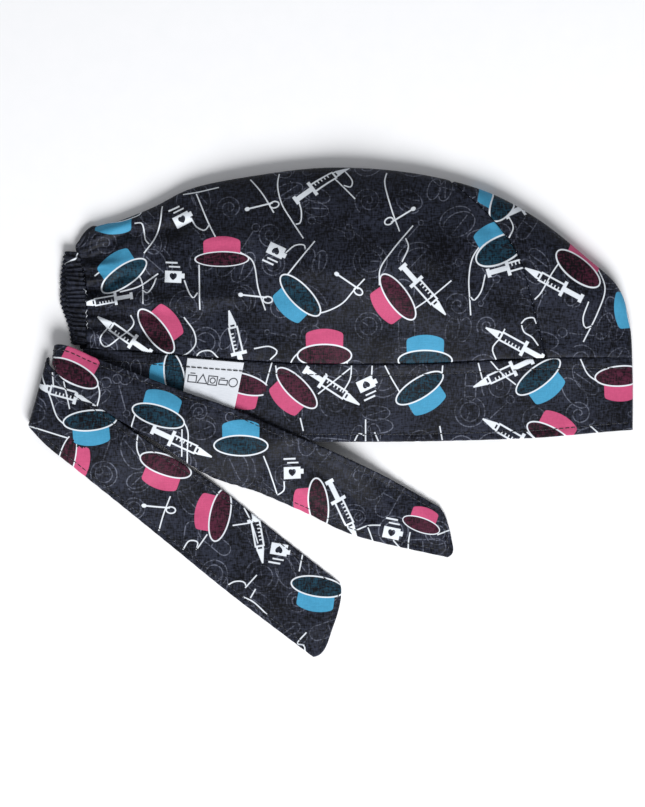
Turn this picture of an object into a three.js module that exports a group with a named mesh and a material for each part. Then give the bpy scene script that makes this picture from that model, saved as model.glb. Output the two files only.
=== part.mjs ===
// A surgical scrub cap lying on its side, as it is laid out to be shown or stored.
// Millimetres. +X runs from the gathered nape to the forehead, +Y from the hem to the top of the
// crown, and +Z up from the surface. The origin is at the middle of the footprint, on the surface.
// The cap is folded on its centre line: its left half lies flat, its right half lies over that with
// the hollow for the head between them, and the two ties are folded back over the right half.
import * as THREE from 'three';

// ---- driving dimensions ------------------------------------------------------------------------
const clothWall = 1.2;      // poplin with its turnings, as stiff as it lies
const labelWall = 0.6;      // folded satin ribbon
const seamGap = 0.55;       // between neighbouring pieces
const hemHeight = 10;       // of the right half's hem over the surface
const napeHeight = 5.6;     // the same at the nape, where the ties press it down
const crownPuff = 16;       // how far the crown stands over the hem
const foldLift = 0.55;      // the folded edge's height, as a share of the hem's
const upperRound = 22;      // how far in from the fold the right half keeps rising
const lowerRound = 8;       // how far in from the fold the left half touches down
const napeX = -121;         // where the crown is gathered into its casing
const bandEndX = -124;      // where the band stops and the ties begin
const napeCorner = 0.35;     // share of the nape's height in which it turns into the crown's corner
const lowerNapeShift = -3.6;  // the left half's nape shows a little behind the right half's
const casingWidth = 10.5;
const casingThickness = 3.1;

// The centre line, on which the cap is folded, from the nape over the top to the forehead.
const centreLine = [
  { x: -126.3, y: 85 }, { x: -120, y: 93.5 }, { x: -104, y: 98.5 }, { x: -88, y: 105 },
  { x: -71, y: 113.5 }, { x: -40, y: 120 }, { x: 0, y: 124.4 }, { x: 44, y: 121.2 },
  { x: 79, y: 112 }, { x: 104, y: 98.5 }, { x: 128, y: 79.5 }, { x: 144, y: 64.5 },
  { x: 149.6, y: 48 }, { x: 151.3, y: 22 }, { x: 151.4, y: -7 },
];
const foreheadCorner = { x: 151.35, y: 29.5 };  // where the centre line meets the band's upper seam

// The seam between the crown's back piece and its front piece, from the centre line to the band.
const templeSeam = [
  { x: 59.8, y: 118.2 }, { x: 79.3, y: 100 }, { x: 93.8, y: 79 }, { x: 100.3, y: 56.5 },
  { x: 107.3, y: 29 },
];

// The band's two edges.
const bandEdges = [
  { x: -128, hem: -7.4, seam: 34 }, { x: -72, hem: -11, seam: 30 }, { x: -20, hem: -12.7, seam: 26.4 },
  { x: 40, hem: -12.8, seam: 26 }, { x: 102, hem: -11, seam: 28.8 }, { x: 152, hem: -7, seam: 29.5 },
];

// Soft valleys in the right half: where each runs, how deep and how wide it is.
const dents = [
  { fromX: -121, fromY: 78, toX: -48, toY: 92, depth: 2.4, width: 6 },
  { fromX: -121, fromY: 62, toX: -70, toY: 66, depth: 1.6, width: 5 },
  { fromX: -121, fromY: 45, toX: -80, toY: 40, depth: 1.6, width: 5 },
  { fromX: -20, fromY: 96, toX: 62, toY: 84, depth: 1.6, width: 12 },
  { fromX: -40, fromY: 44, toX: 40, toY: 50, depth: 1.2, width: 10 },
];

// The casing's centre line: down the right half, round the fold and back down the left half.
const casingPath = [
  { x: -126.9, y: 35.6, z: 5.25, swell: 1 }, { x: -126.9, y: 50, z: 5.25, swell: 1 },
  { x: -127, y: 64, z: 5.25, swell: 1 }, { x: -129, y: 74.5, z: 5.25, swell: 1 },
  { x: -130.6, y: 78.8, z: 5.1, swell: 0.9 }, { x: -131, y: 80.5, z: 3.5, swell: 0.9 },
  { x: -131, y: 78.8, z: 1.9, swell: 0.9 }, { x: -130.5, y: 74.5, z: 1.75, swell: 1 },
  { x: -130.4, y: 62, z: 1.75, swell: 1 }, { x: -130.4, y: 50, z: 1.75, swell: 1 },
  { x: -130.6, y: 35.6, z: 1.75, swell: 1 },
];

// The ties, from root to end: the upper and the lower edge of each section, how far its middle arches
// up, and how far its lower edge is rolled under (roll is the radius of the turn, tuck the width of
// cloth beneath it).
const rightTie = [
  { ux: -124.6, uy: 31, uz: 4.6, lx: -124.6, ly: 9, lz: 4.6, arch: 0, roll: 0, tuck: 0 },
  { ux: -130.5, uy: 32.8, uz: 4.6, lx: -131.5, ly: 19, lz: 4.2, arch: 0, roll: 0, tuck: 0 },
  { ux: -135.2, uy: 34.8, uz: 5.2, lx: -136.2, ly: 25.6, lz: 5.2, arch: 0, roll: 0, tuck: 0 },
  { ux: -137.6, uy: 35.4, uz: 7.8, lx: -139, ly: 26, lz: 7.8, arch: 0, roll: 0, tuck: 0 },
  { ux: -134.6, uy: 35.8, uz: 10.8, lx: -138, ly: 25.6, lz: 10.8, arch: 0, roll: 0.3, tuck: 0.5 },
  { ux: -128, uy: 34, uz: 11.4, lx: -134, ly: 20.6, lz: 11.6, arch: 0.4, roll: 0.9, tuck: 3 },
  { ux: -115.5, uy: 28.3, uz: 11.4, lx: -124.4, ly: 13, lz: 12.2, arch: 0.6, roll: 1.2, tuck: 9 },
  { ux: -94, uy: 20.2, uz: 12.4, lx: -106.5, ly: 0.6, lz: 12.4, arch: 0.6, roll: 1.3, tuck: 9 },
  { ux: -73.8, uy: 12.5, uz: 14, lx: -86.5, ly: -11, lz: 12.8, arch: 0.6, roll: 1.2, tuck: 5 },
  { ux: -48, uy: 3.5, uz: 14, lx: -62, ly: -28.5, lz: 7.6, arch: 2.2, roll: 0.4, tuck: 1 },
  { ux: -25, uy: -6.5, uz: 12.9, lx: -39, ly: -37, lz: 3.2, arch: 3, roll: 0, tuck: 0 },
  { ux: 0, uy: -17.2, uz: 10.6, lx: -13, ly: -48.3, lz: 1.4, arch: 1.4, roll: 0, tuck: 0 },
  { ux: 28.8, uy: -31, uz: 3.4, lx: 14, ly: -60.6, lz: 0.9, arch: 0.4, roll: 0, tuck: 0 },
  { ux: 57.6, uy: -47.4, uz: 1.2, lx: 63.2, ly: -72, lz: 0.8, arch: 0, roll: 0, tuck: 0 },
];
const leftTie = [
  { ux: -125.2, uy: 31, uz: 0.8, lx: -125.2, ly: -6.6, lz: 0.8, arch: 0, roll: 0, tuck: 0 },
  { ux: -132, uy: 27.6, uz: 0.8, lx: -137, ly: -6, lz: 0.8, arch: 0, roll: 0, tuck: 0 },
  { ux: -140.2, uy: 22.6, uz: 1, lx: -149, ly: -5.2, lz: 1, arch: 0, roll: 0, tuck: 0 },
  { ux: -142.3, uy: 22.2, uz: 4.1, lx: -151, ly: -5, lz: 4, arch: 0, roll: 0, tuck: 0 },
  { ux: -140.2, uy: 21.4, uz: 7.4, lx: -149, ly: -7.6, lz: 7, arch: 0, roll: 0, tuck: 0 },
  { ux: -130, uy: 15, uz: 8, lx: -141.6, ly: -15.4, lz: 5.6, arch: 0.8, roll: 0, tuck: 0 },
  { ux: -117, uy: 6, uz: 8.5, lx: -130.6, ly: -24.2, lz: 4, arch: 1.4, roll: 0, tuck: 0 },
  { ux: -98, uy: -8, uz: 8.6, lx: -116, ly: -36, lz: 1.8, arch: 1.6, roll: 0, tuck: 0 },
  { ux: -76, uy: -22.6, uz: 4.2, lx: -98, ly: -50.6, lz: 1.1, arch: 0.6, roll: 0, tuck: 0 },
  { ux: -55, uy: -36.6, uz: 1.4, lx: -78.6, ly: -66.4, lz: 0.85, arch: 0.1, roll: 0, tuck: 0 },
  { ux: -25, uy: -60.6, uz: 0.8, lx: -48.8, ly: -90.6, lz: 0.8, arch: 0, roll: 0, tuck: 0 },
  { ux: 7.8, uy: -86.4, uz: 0.8, lx: -4.6, ly: -124.2, lz: 0.8, arch: 0, roll: 0, tuck: 0 },
];

// The label, set in the band's upper seam: its four corners, seen from above.
const labelCorners = {
  topLeft: { x: -71.4, y: 29 }, topRight: { x: -43, y: 26.6 },
  bottomLeft: { x: -74.6, y: 4 }, bottomRight: { x: -48.4, y: 1 },
};
const labelLift = 0.5;      // clear of the band's face

// ---- curves and heights ------------------------------------------------------------------------
const smooth = (t) => { const c = Math.min(Math.max(t, 0), 1); return c * c * (3 - 2 * c); };
const mix = (a, b, t) => a + (b - a) * t;

// A smooth curve through rows, read by t from 0 to 1 along its length.
function curveThrough(rows) {
  const curve = new THREE.CatmullRomCurve3(rows.map((r) => new THREE.Vector3(r.x, r.y, r.z ?? 0)));
  curve.arcLengthDivisions = 600;
  return (t) => curve.getPointAt(Math.min(Math.max(t, 0), 1));
}

// Any column of a table, smoothly between its rows, read by position s in rows.
function columnAt(rows, key, s) {
  const i = Math.min(Math.floor(s), rows.length - 2);
  const value = (k) => rows[Math.min(Math.max(k, 0), rows.length - 1)][key];
  const t = s - i;
  const leave = (value(i + 1) - value(i - 1)) / 2;
  const arrive = (value(i + 2) - value(i)) / 2;
  const t2 = t * t;
  const t3 = t2 * t;
  return (2 * t3 - 3 * t2 + 1) * value(i) + (t3 - 2 * t2 + t) * leave
    + (3 * t2 - 2 * t3) * value(i + 1) + (t3 - t2) * arrive;
}

// A band edge's y over x.
function edgeAt(x, key) {
  let i = 0;
  while (i < bandEdges.length - 2 && x > bandEdges[i + 1].x) i += 1;
  const t = (x - bandEdges[i].x) / (bandEdges[i + 1].x - bandEdges[i].x);
  return columnAt(bandEdges, key, i + Math.min(Math.max(t, 0), 1));
}

const foldAt = curveThrough(centreLine);
const seamAt = curveThrough(templeSeam);
const foldPoints = Array.from({ length: 401 }, (_, i) => foldAt(i / 400));

// The place on the centre line that is nearest to a point, as t.
function nearestOnFold(p) {
  let best = 0;
  foldPoints.forEach((q, i) => {
    if (Math.hypot(q.x - p.x, q.y - p.y) < Math.hypot(foldPoints[best].x - p.x, foldPoints[best].y - p.y)) best = i;
  });
  return best / (foldPoints.length - 1);
}

// Distance in plan from the folded edge.
function fromFold(x, y) {
  let least = Infinity;
  for (let i = 0; i < foldPoints.length - 1; i += 1) {
    const a = foldPoints[i];
    const b = foldPoints[i + 1];
    const t = ((x - a.x) * (b.x - a.x) + (y - a.y) * (b.y - a.y)) / ((b.x - a.x) ** 2 + (b.y - a.y) ** 2);
    const c = Math.min(Math.max(t, 0), 1);
    least = Math.min(least, Math.hypot(x - mix(a.x, b.x, c), y - mix(a.y, b.y, c)));
  }
  return least;
}

// A quarter round: 0 at the fold, where it starts upright, and 1 from the reach inwards.
const quarterRound = (distance, reach) => Math.sqrt(1 - (1 - Math.min(distance / reach, 1)) ** 2);
const baseHeight = (x) => mix(napeHeight, hemHeight, smooth((x + 125) / 85));
const foldHeight = (x) => foldLift * baseHeight(x);

// How deep the dents are at a point: a bell across each, fading towards its far end.
function dentDepth(x, y) {
  return dents.reduce((sum, d) => {
    const lengthSquared = (d.toX - d.fromX) ** 2 + (d.toY - d.fromY) ** 2;
    const t = ((x - d.fromX) * (d.toX - d.fromX) + (y - d.fromY) * (d.toY - d.fromY)) / lengthSquared;
    const c = Math.min(Math.max(t, 0), 1);
    const off = Math.hypot(x - mix(d.fromX, d.toX, c), y - mix(d.fromY, d.toY, c));
    return sum + d.depth * Math.exp(-((off / d.width) ** 2)) * smooth(2 - 2 * c) * smooth(0.4 + 3 * c);
  }, 0);
}

// The outside of the right half, which lies uppermost: the hem's height, the crown's puff over it,
// less its dents, rounded down to the folded edge.
function upperHeight(x, y) {
  const puff = crownPuff * Math.exp(-(((x - 15) / 95) ** 2) - ((y - 68) / 48) ** 2);
  const round = quarterRound(fromFold(x, y), upperRound);
  const full = baseHeight(x) + puff - dentDepth(x, y) * smooth((y - 30) / 12);
  return mix(foldHeight(x), Math.max(full, foldHeight(x) + 1.5), round);
}

// The outside of the left half, which lies on the surface.
const lowerHeight = (x, y) => foldHeight(x) * (1 - quarterRound(fromFold(x, y), lowerRound));

// ---- solids ------------------------------------------------------------------------------------
// A closed body from rings of points: the rings are joined in order and both ends are capped by a
// fan round each end ring's middle.
function loft(rings) {
  const n = rings[0].length;
  const middle = (ring) => ring.reduce((m, p) => m.add(p), new THREE.Vector3()).divideScalar(n);
  const points = [...rings.flat(), middle(rings[0]), middle(rings[rings.length - 1])];
  const faces = [];
  for (let i = 0; i < rings.length - 1; i += 1) {
    for (let j = 0; j < n; j += 1) {
      const k = (j + 1) % n;
      faces.push(i * n + j, (i + 1) * n + j, (i + 1) * n + k, i * n + j, (i + 1) * n + k, i * n + k);
    }
  }
  const last = (rings.length - 1) * n;
  for (let j = 0; j < n; j += 1) {
    const k = (j + 1) % n;
    faces.push(points.length - 2, j, k, points.length - 1, last + k, last + j);
  }
  return facingOut(points, faces);
}

// A closed wall from a grid of points on one side of a sheet: the other side is offset along the
// sheet's own normals, and a rim joins the two.
function wallFrom(grid, thickness, offsetStart = 0) {
  const rows = grid.length;
  const cols = grid[0].length;
  const at = (i, j) => grid[Math.min(Math.max(i, 0), rows - 1)][Math.min(Math.max(j, 0), cols - 1)];
  const outer = [];
  const inner = [];
  for (let i = 0; i < rows; i += 1) {
    for (let j = 0; j < cols; j += 1) {
      const along = at(i + 1, j).clone().sub(at(i - 1, j));
      const across = at(i, j + 1).clone().sub(at(i, j - 1));
      const normal = along.cross(across).normalize();
      outer.push(grid[i][j].clone().addScaledVector(normal, offsetStart));
      inner.push(grid[i][j].clone().addScaledVector(normal, offsetStart + thickness));
    }
  }
  const points = [...outer, ...inner];
  const shift = rows * cols;
  const faces = [];
  const quad = (a, b, c, d) => faces.push(a, b, c, a, c, d);
  for (let i = 0; i < rows - 1; i += 1) {
    for (let j = 0; j < cols - 1; j += 1) {
      const a = i * cols + j;
      quad(a, a + 1, a + cols + 1, a + cols);
      quad(a + shift, a + cols + shift, a + cols + 1 + shift, a + 1 + shift);
    }
  }
  for (let i = 0; i < rows - 1; i += 1) {
    const near = i * cols;
    const far = near + cols - 1;
    quad(near, near + cols, near + cols + shift, near + shift);
    quad(far + cols, far, far + shift, far + cols + shift);
  }
  for (let j = 0; j < cols - 1; j += 1) {
    const last = (rows - 1) * cols + j;
    quad(j + 1, j, j + shift, j + 1 + shift);
    quad(last, last + 1, last + 1 + shift, last + shift);
  }
  return facingOut(points, faces);
}

// The geometry of points and faces, turned so that its volume is positive.
function facingOut(points, faces) {
  let volume = 0;
  for (let i = 0; i < faces.length; i += 3) {
    const [a, b, c] = [points[faces[i]], points[faces[i + 1]], points[faces[i + 2]]];
    volume += a.dot(b.clone().cross(c));
  }
  const geometry = new THREE.BufferGeometry();
  geometry.setAttribute('position', new THREE.Float32BufferAttribute(points.flatMap((p) => p.toArray()), 3));
  geometry.setIndex(volume > 0 ? faces : faces.reverse());
  geometry.computeVertexNormals();
  return geometry;
}

// ---- the crown, the band and the label, which follow the two heights ----------------------------
// A sheet folded on the centre line. place(u, q) gives a point in plan, with q from 0 on the fold to
// 1 at the sheet's edge; the left half's copy of the plan may be shifted along X. The wall lies on
// the side that thickness points to.
function foldedSheet(place, columns, rows, thickness, shift = () => 0) {
  const grid = [];
  for (let i = 0; i <= columns; i += 1) {
    const line = [];
    for (let k = -rows; k <= rows; k += 1) {
      const q = (Math.abs(k) / rows) ** foldCrowding;
      const p = place(i / columns, q);
      const under = k < 0;
      const x = under ? p.x + shift(i / columns) * smooth(q) : p.x;
      line.push(new THREE.Vector3(x, p.y, under ? lowerHeight(p.x, p.y) : upperHeight(p.x, p.y)));
    }
    grid.push(line);
  }
  return wallFrom(grid, thickness);
}

const foldCrowding = 1.8;   // brings a sheet's rows of points closer together towards its fold
const templeTop = nearestOnFold(templeSeam[0]);
const foreheadAt = nearestOnFold(foreheadCorner);

function crownBack() {
  const seamEnd = templeSeam[templeSeam.length - 1];
  const corner = foldAt(0);
  const place = (u, q) => {
    const top = foldAt(u * templeTop);
    const x = mix(napeX, seamEnd.x, u);
    const bottom = new THREE.Vector3(x, edgeAt(x, 'seam') + seamGap / 2, 0);
    const bow = seamAt(q).sub(new THREE.Vector3().lerpVectors(seamAt(0), seamAt(1), q));
    const p = new THREE.Vector3().lerpVectors(top, bottom, q).addScaledVector(bow, u * u);
    p.x += (1 - u) ** 4 * (mix(corner.x, napeX, smooth(q / napeCorner)) - mix(corner.x, napeX, q));
    p.x -= u * seamGap / 2;
    return p;
  };
  return foldedSheet(place, 28, 12, clothWall, (u) => lowerNapeShift * smooth(1 - 6 * u));
}

function crownFront() {
  const tip = 0.05;         // the panel's point is blunt: its first column is a few millimetres long
  const forehead = foldAt(foreheadAt);
  const place = (u, q) => {
    const t = mix(tip, 1, u);
    const top = foldAt(mix(templeTop, foreheadAt, t));
    const p = new THREE.Vector3().lerpVectors(top, seamAt(t), q);
    p.x += q * (1 - u / 2) * seamGap / 2;
    const lowest = mix(forehead.x, seamAt(1).x, q);
    p.y += u ** 4 * (edgeAt(lowest, 'seam') + seamGap / 2 - mix(forehead.y, seamAt(1).y, q));
    return p;
  };
  return foldedSheet(place, 14, 9, clothWall);
}

function band() {
  const place = (u, q) => {
    const rough = mix(foreheadCorner.x, bandEndX, q);
    const y = mix(edgeAt(rough, 'hem'), edgeAt(rough, 'seam') - seamGap / 2, u);
    return new THREE.Vector3(mix(foldAt(mix(1, foreheadAt, u)).x, bandEndX, q), y, 0);
  };
  return foldedSheet(place, 5, 24, -clothWall);
}

function label() {
  const { topLeft, topRight, bottomLeft, bottomRight } = labelCorners;
  const grid = [];
  for (let i = 0; i <= 7; i += 1) {
    const line = [];
    for (let j = 0; j <= 6; j += 1) {
      const [u, v] = [i / 7, j / 6];
      const x = mix(mix(topLeft.x, topRight.x, u), mix(bottomLeft.x, bottomRight.x, u), v);
      const y = mix(mix(topLeft.y, topRight.y, u), mix(bottomLeft.y, bottomRight.y, u), v);
      line.push(new THREE.Vector3(x, y, upperHeight(x, y) + labelLift));
    }
    grid.push(line);
  }
  return wallFrom(grid, -labelWall);
}

// ---- the casing and the ties --------------------------------------------------------------------
// The gathered casing with its elastic: a flat tube along its path, fuller round the fold.
function casing() {
  const pathAt = curveThrough(casingPath);
  const steps = 38;
  const sides = 12;
  const rings = [];
  for (let i = 0; i <= steps; i += 1) {
    const t = i / steps;
    const centre = pathAt(t);
    const along = pathAt(Math.min(t + 0.01, 1)).sub(pathAt(Math.max(t - 0.01, 0))).setX(0).normalize();
    const sideways = new THREE.Vector3(1, 0, 0);
    const up = sideways.clone().cross(along);
    const swell = columnAt(casingPath, 'swell', t * (casingPath.length - 1));
    const ring = [];
    for (let j = 0; j < sides; j += 1) {
      const a = (j / sides) * 2 * Math.PI;
      const flat = (v) => Math.sign(v) * Math.abs(v) ** 0.6;
      ring.push(centre.clone()
        .addScaledVector(sideways, flat(Math.cos(a)) * casingWidth * swell / 2)
        .addScaledVector(up, flat(Math.sin(a)) * casingThickness / 2));
    }
    rings.push(ring);
  }
  return loft(rings);
}

// A strap through its sections: a low arch from the upper to the lower edge, then rolled under by a
// half turn and back beneath itself. The points of a section are evenly spaced along the cloth.
function strap(rows, steps, across) {
  const grid = [];
  const at = (s) => {
    const read = (key) => columnAt(rows, key, s);
    return {
      upper: new THREE.Vector3(read('ux'), read('uy'), read('uz')),
      lower: new THREE.Vector3(read('lx'), read('ly'), read('lz')),
      arch: read('arch'),
      roll: Math.max(read('roll'), 0),
      tuck: Math.max(read('tuck'), 0),
    };
  };
  for (let i = 0; i <= steps; i += 1) {
    const s = (i / steps) * (rows.length - 1);
    const { upper, lower, arch, roll, tuck } = at(s);
    const across3 = lower.clone().sub(upper);
    const width = across3.length();
    across3.normalize();
    const before = at(Math.max(s - 0.05, 0));
    const after = at(Math.min(s + 0.05, rows.length - 1));
    const along = after.upper.clone().add(after.lower).sub(before.upper).sub(before.lower);
    const down = along.cross(across3).normalize();
    const total = width + Math.PI * roll + tuck;
    const line = [];
    for (let j = 0; j <= across; j += 1) {
      const run = (j / across) * total;
      const w = Math.min(run / width, 1);
      const p = upper.clone().addScaledVector(across3, w * width).addScaledVector(down, -4 * arch * w * (1 - w));
      if (run > width) {
        const turn = Math.min((run - width) / Math.max(roll, 0.01), Math.PI);
        p.addScaledVector(across3, roll * Math.sin(turn)).addScaledVector(down, roll * (1 - Math.cos(turn)));
        p.addScaledVector(across3, -Math.max(run - width - Math.PI * roll, 0));
      }
      line.push(p);
    }
    grid.push(line);
  }
  return wallFrom(grid, clothWall, -clothWall / 2);
}

// ---- the assembly -------------------------------------------------------------------------------
const poplin = { color: 0x1b1c24, roughness: 0.75, metalness: 0 };
const satin = { color: 0xe4e6ea, roughness: 0.45, metalness: 0 };

function piece(name, geometry, look) {
  const mesh = new THREE.Mesh(geometry, new THREE.MeshStandardMaterial(look));
  mesh.name = name;
  return mesh;
}

const scrubCap = new THREE.Group();
scrubCap.name = 'scrub_cap';
scrubCap.add(
  piece('crown_back', crownBack(), poplin),
  piece('crown_front', crownFront(), poplin),
  piece('band', band(), poplin),
  piece('back_casing', casing(), poplin),
  piece('tie_right', strap(rightTie, 36, 12), poplin),
  piece('tie_left', strap(leftTie, 32, 8), poplin),
  piece('label', label(), satin),
);

export default scrubCap;
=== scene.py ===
import bpy
import numpy as np
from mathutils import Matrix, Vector


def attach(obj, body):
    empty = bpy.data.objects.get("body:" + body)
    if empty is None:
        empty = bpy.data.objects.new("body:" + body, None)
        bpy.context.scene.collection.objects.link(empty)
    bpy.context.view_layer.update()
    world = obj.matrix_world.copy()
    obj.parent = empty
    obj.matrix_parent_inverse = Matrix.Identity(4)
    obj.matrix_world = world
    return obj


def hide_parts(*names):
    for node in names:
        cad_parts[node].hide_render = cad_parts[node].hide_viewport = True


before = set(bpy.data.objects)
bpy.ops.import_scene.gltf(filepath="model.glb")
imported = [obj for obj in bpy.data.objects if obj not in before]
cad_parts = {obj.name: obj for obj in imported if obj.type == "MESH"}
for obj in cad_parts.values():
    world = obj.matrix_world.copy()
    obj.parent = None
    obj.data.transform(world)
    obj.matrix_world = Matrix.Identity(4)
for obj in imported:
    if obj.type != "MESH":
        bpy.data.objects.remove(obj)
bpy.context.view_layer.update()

# ---- the view -----------------------------------------------------------------------------------
# The cap is looked at from straight above, with the crown's top away from the viewer. Lengths in
# this script are millimetres; MM turns them to metres where an object or a mesh is made.
MM = 0.001
VIEW_MIDDLE = np.array([-4.0, 6.25, 8.0])
VIEW_HEIGHT = 403.5         # of the picture, at the cap
VIEW_DISTANCE = 1500.0
SENSOR = 24.0

camera_data = bpy.data.cameras.new("camera_above")
camera_data.sensor_fit = "VERTICAL"
camera_data.sensor_height = SENSOR
camera_data.lens = SENSOR * VIEW_DISTANCE / VIEW_HEIGHT
camera = bpy.data.objects.new("camera_above", camera_data)
camera.location = (VIEW_MIDDLE + (0, 0, VIEW_DISTANCE)) * MM
bpy.context.collection.objects.link(camera)
bpy.context.scene.camera = camera


# ---- the table and the light --------------------------------------------------------------------
# A matt white board under the cap. One large soft lamp stands low on the near side, a weaker one on
# the far side, and the room is pale all round, so folds show and shadows fall softly to the far side.
TABLE_SIZE = 6000.0
KEY = {"place": (350.0, -1300.0, 1150.0), "size": 1100.0, "watts": 46.5}
FILL = {"place": (-500.0, 1300.0, 1300.0), "size": 1500.0, "watts": 4.0}
ROOM_LIGHT = 0.285


def linear(hex_colour):
    """The sRGB colour #rrggbb as linear RGBA: a channel v gives ((v + 0.055) / 1.055) ** 2.4, or
    v / 12.92 where it is dark."""
    channels = [int(hex_colour[i : i + 2], 16) / 255 for i in (1, 3, 5)]
    return (*(((v + 0.055) / 1.055) ** 2.4 if v > 0.04045 else v / 12.92 for v in channels), 1.0)


def add_node(tree, kind, sockets=(), **settings):
    """A shader node of that kind with its settings made. Each socket named or numbered is given its
    value, or a link where the value is another node, for its first output, or a node's output."""
    node = tree.nodes.new("ShaderNode" + kind)
    for name, value in settings.items():
        setattr(node, name, value)
    for socket, value in dict(sockets).items():
        if isinstance(value, bpy.types.Node):
            value = value.outputs[0]
        if isinstance(value, bpy.types.NodeSocket):
            tree.links.new(value, node.inputs[socket])
        else:
            node.inputs[socket].default_value = value
    return node


def new_material(name):
    """An empty material's node tree, and the material."""
    material = bpy.data.materials.new(name)
    material.use_nodes = True
    material.node_tree.nodes.clear()
    return material.node_tree, material


def painted_board():
    """Matt emulsion on board: white and without gloss, with the faint mottle of a roller."""
    tree, material = new_material("matt_emulsion")
    place = add_node(tree, "TexCoord")
    mottle = add_node(
        tree, "TexNoise", {"Vector": place.outputs["Object"], "Scale": 90.0, "Detail": 3.0}
    )
    colour = add_node(
        tree, "Mix", {0: mottle, 6: linear("#f4f5f7"), 7: linear("#f8f8fa")}, data_type="RGBA"
    )
    paint = add_node(
        tree,
        "BsdfPrincipled",
        {"Base Color": colour.outputs[2], "Roughness": 0.9, "Specular IOR Level": 0.15},
    )
    add_node(tree, "OutputMaterial", {"Surface": paint})
    return material


half = TABLE_SIZE / 2 * MM
table_mesh = bpy.data.meshes.new("table_top")
table_mesh.from_pydata(
    [(-half, -half, 0), (half, -half, 0), (half, half, 0), (-half, half, 0)], [], [(0, 1, 2, 3)]
)
table_mesh.materials.append(painted_board())
table_top = bpy.data.objects.new("table_top", table_mesh)
bpy.context.collection.objects.link(table_top)

for name, lamp in (("key_lamp", KEY), ("fill_lamp", FILL)):
    light = bpy.data.lights.new(name, "AREA")
    light.shape = "DISK"
    light.size = lamp["size"] * MM
    light.energy = lamp["watts"]
    lamp_object = bpy.data.objects.new(name, light)
    lamp_object.location = np.array(lamp["place"]) * MM
    aim = Vector(VIEW_MIDDLE * MM) - lamp_object.location
    lamp_object.rotation_euler = aim.to_track_quat("-Z", "Y").to_euler()
    bpy.context.collection.objects.link(lamp_object)

world = bpy.data.worlds.new("pale_room")
world.use_nodes = True
world.node_tree.nodes["Background"].inputs["Color"].default_value = linear("#f4f6fa")
world.node_tree.nodes["Background"].inputs["Strength"].default_value = ROOM_LIGHT
bpy.context.scene.world = world
bpy.context.scene.view_settings.view_transform = "Standard"


# ---- the printed poplin -------------------------------------------------------------------------
# One cloth makes the crown, the band, the casing and the ties: a fine, tightly woven poplin dyed
# near black and screen printed. Its figures are small surgical caps seen from below, with their
# insides in shade, syringes, heart cards and swabs, over white lines and dark grey outlines of
# tablets and rolls of bandage.
#
# Each sheet keeps the places that its points had on the flat cloth. The print is laid on those: every
# face of the mesh takes the figure that covers it, and its corners get their places in that figure's
# cell of the printing screen, which the material draws.
WHITE_INK, PINK_INK, CYAN_INK = "#d9dfe6", "#b5496f", "#3f8cb0"
CELL = 100.0                # between the figures on a screen
NO_INK = -400.0             # a place on the screens where nothing is drawn
FIGURES = {                 # each figure's cell, and the boxes that hold it: middle, half sizes
    "pink": {"cell": 0, "boxes": [(0.0, 0.2, 12.5, 6.3), (0.0, -8.4, 14.4, 6.0)]},
    "cyan": {"cell": 1, "boxes": [(0.0, 0.2, 12.5, 6.3), (0.0, -8.4, 14.4, 6.0)]},
    "syringe": {"cell": 0, "boxes": [(0.5, 0.0, 18.0, 5.0)]},
    "card": {"cell": 1, "boxes": [(0.5, 2.2, 7.0, 6.7)]},
    "swab": {"cell": 2, "boxes": [(1.5, 0.0, 9.5, 3.5)]},
}
TALL_BELOW = -3.4           # the part of a small cap that is drawn out where its brim is tall
LINE_SPACING = 0.6          # between the points that a printed line is followed by
LINE_REACH = 1.9            # how near a face has to be to a line to take it


def evenly(line, count):
    """The line's points again, spaced evenly along it."""
    run = np.concatenate([[0], np.cumsum(np.linalg.norm(np.diff(line, axis=0), axis=1))])
    at = np.linspace(0, run[-1], count)
    return np.stack([np.interp(at, run, column) for column in line.T], 1)


def curve_through(rows, count):
    """Evenly spaced points of the centripetal Catmull-Rom curve through rows: between two rows it
    is the cubic whose end slopes come from the neighbours, weighed by the roots of their gaps."""
    p = np.array(rows, float)
    p = np.vstack([2 * p[0] - p[1], p, 2 * p[-1] - p[-2]])
    gap = np.linalg.norm(np.diff(p, axis=0), axis=1, keepdims=True) ** 0.5
    a, b, c, d = p[:-3], p[1:-2], p[2:-1], p[3:]
    before, here, after = gap[:-2], gap[1:-1], gap[2:]
    leave = ((b - a) / before - (c - a) / (before + here) + (c - b) / here) * here
    arrive = ((c - b) / here - (d - b) / (here + after) + (d - c) / after) * here
    t = np.linspace(0, 1, 48, endpoint=False)[None, :, None]
    cubic = (
        (2 * t**3 - 3 * t**2 + 1) * b[:, None]
        + (t**3 - 2 * t**2 + t) * leave[:, None]
        + (3 * t**2 - 2 * t**3) * c[:, None]
        + (t**3 - t**2) * arrive[:, None]
    )
    return evenly(np.vstack([cubic.reshape(-1, p.shape[1]), p[-2]]), count)


def turned(points, degrees, flip=1):
    """Points mirrored in x where flip is -1, then turned counterclockwise."""
    c, s = np.cos(np.radians(degrees)), np.sin(np.radians(degrees))
    return (np.asarray(points) * (flip, 1)) @ np.array([[c, s], [-s, c]])


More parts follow.
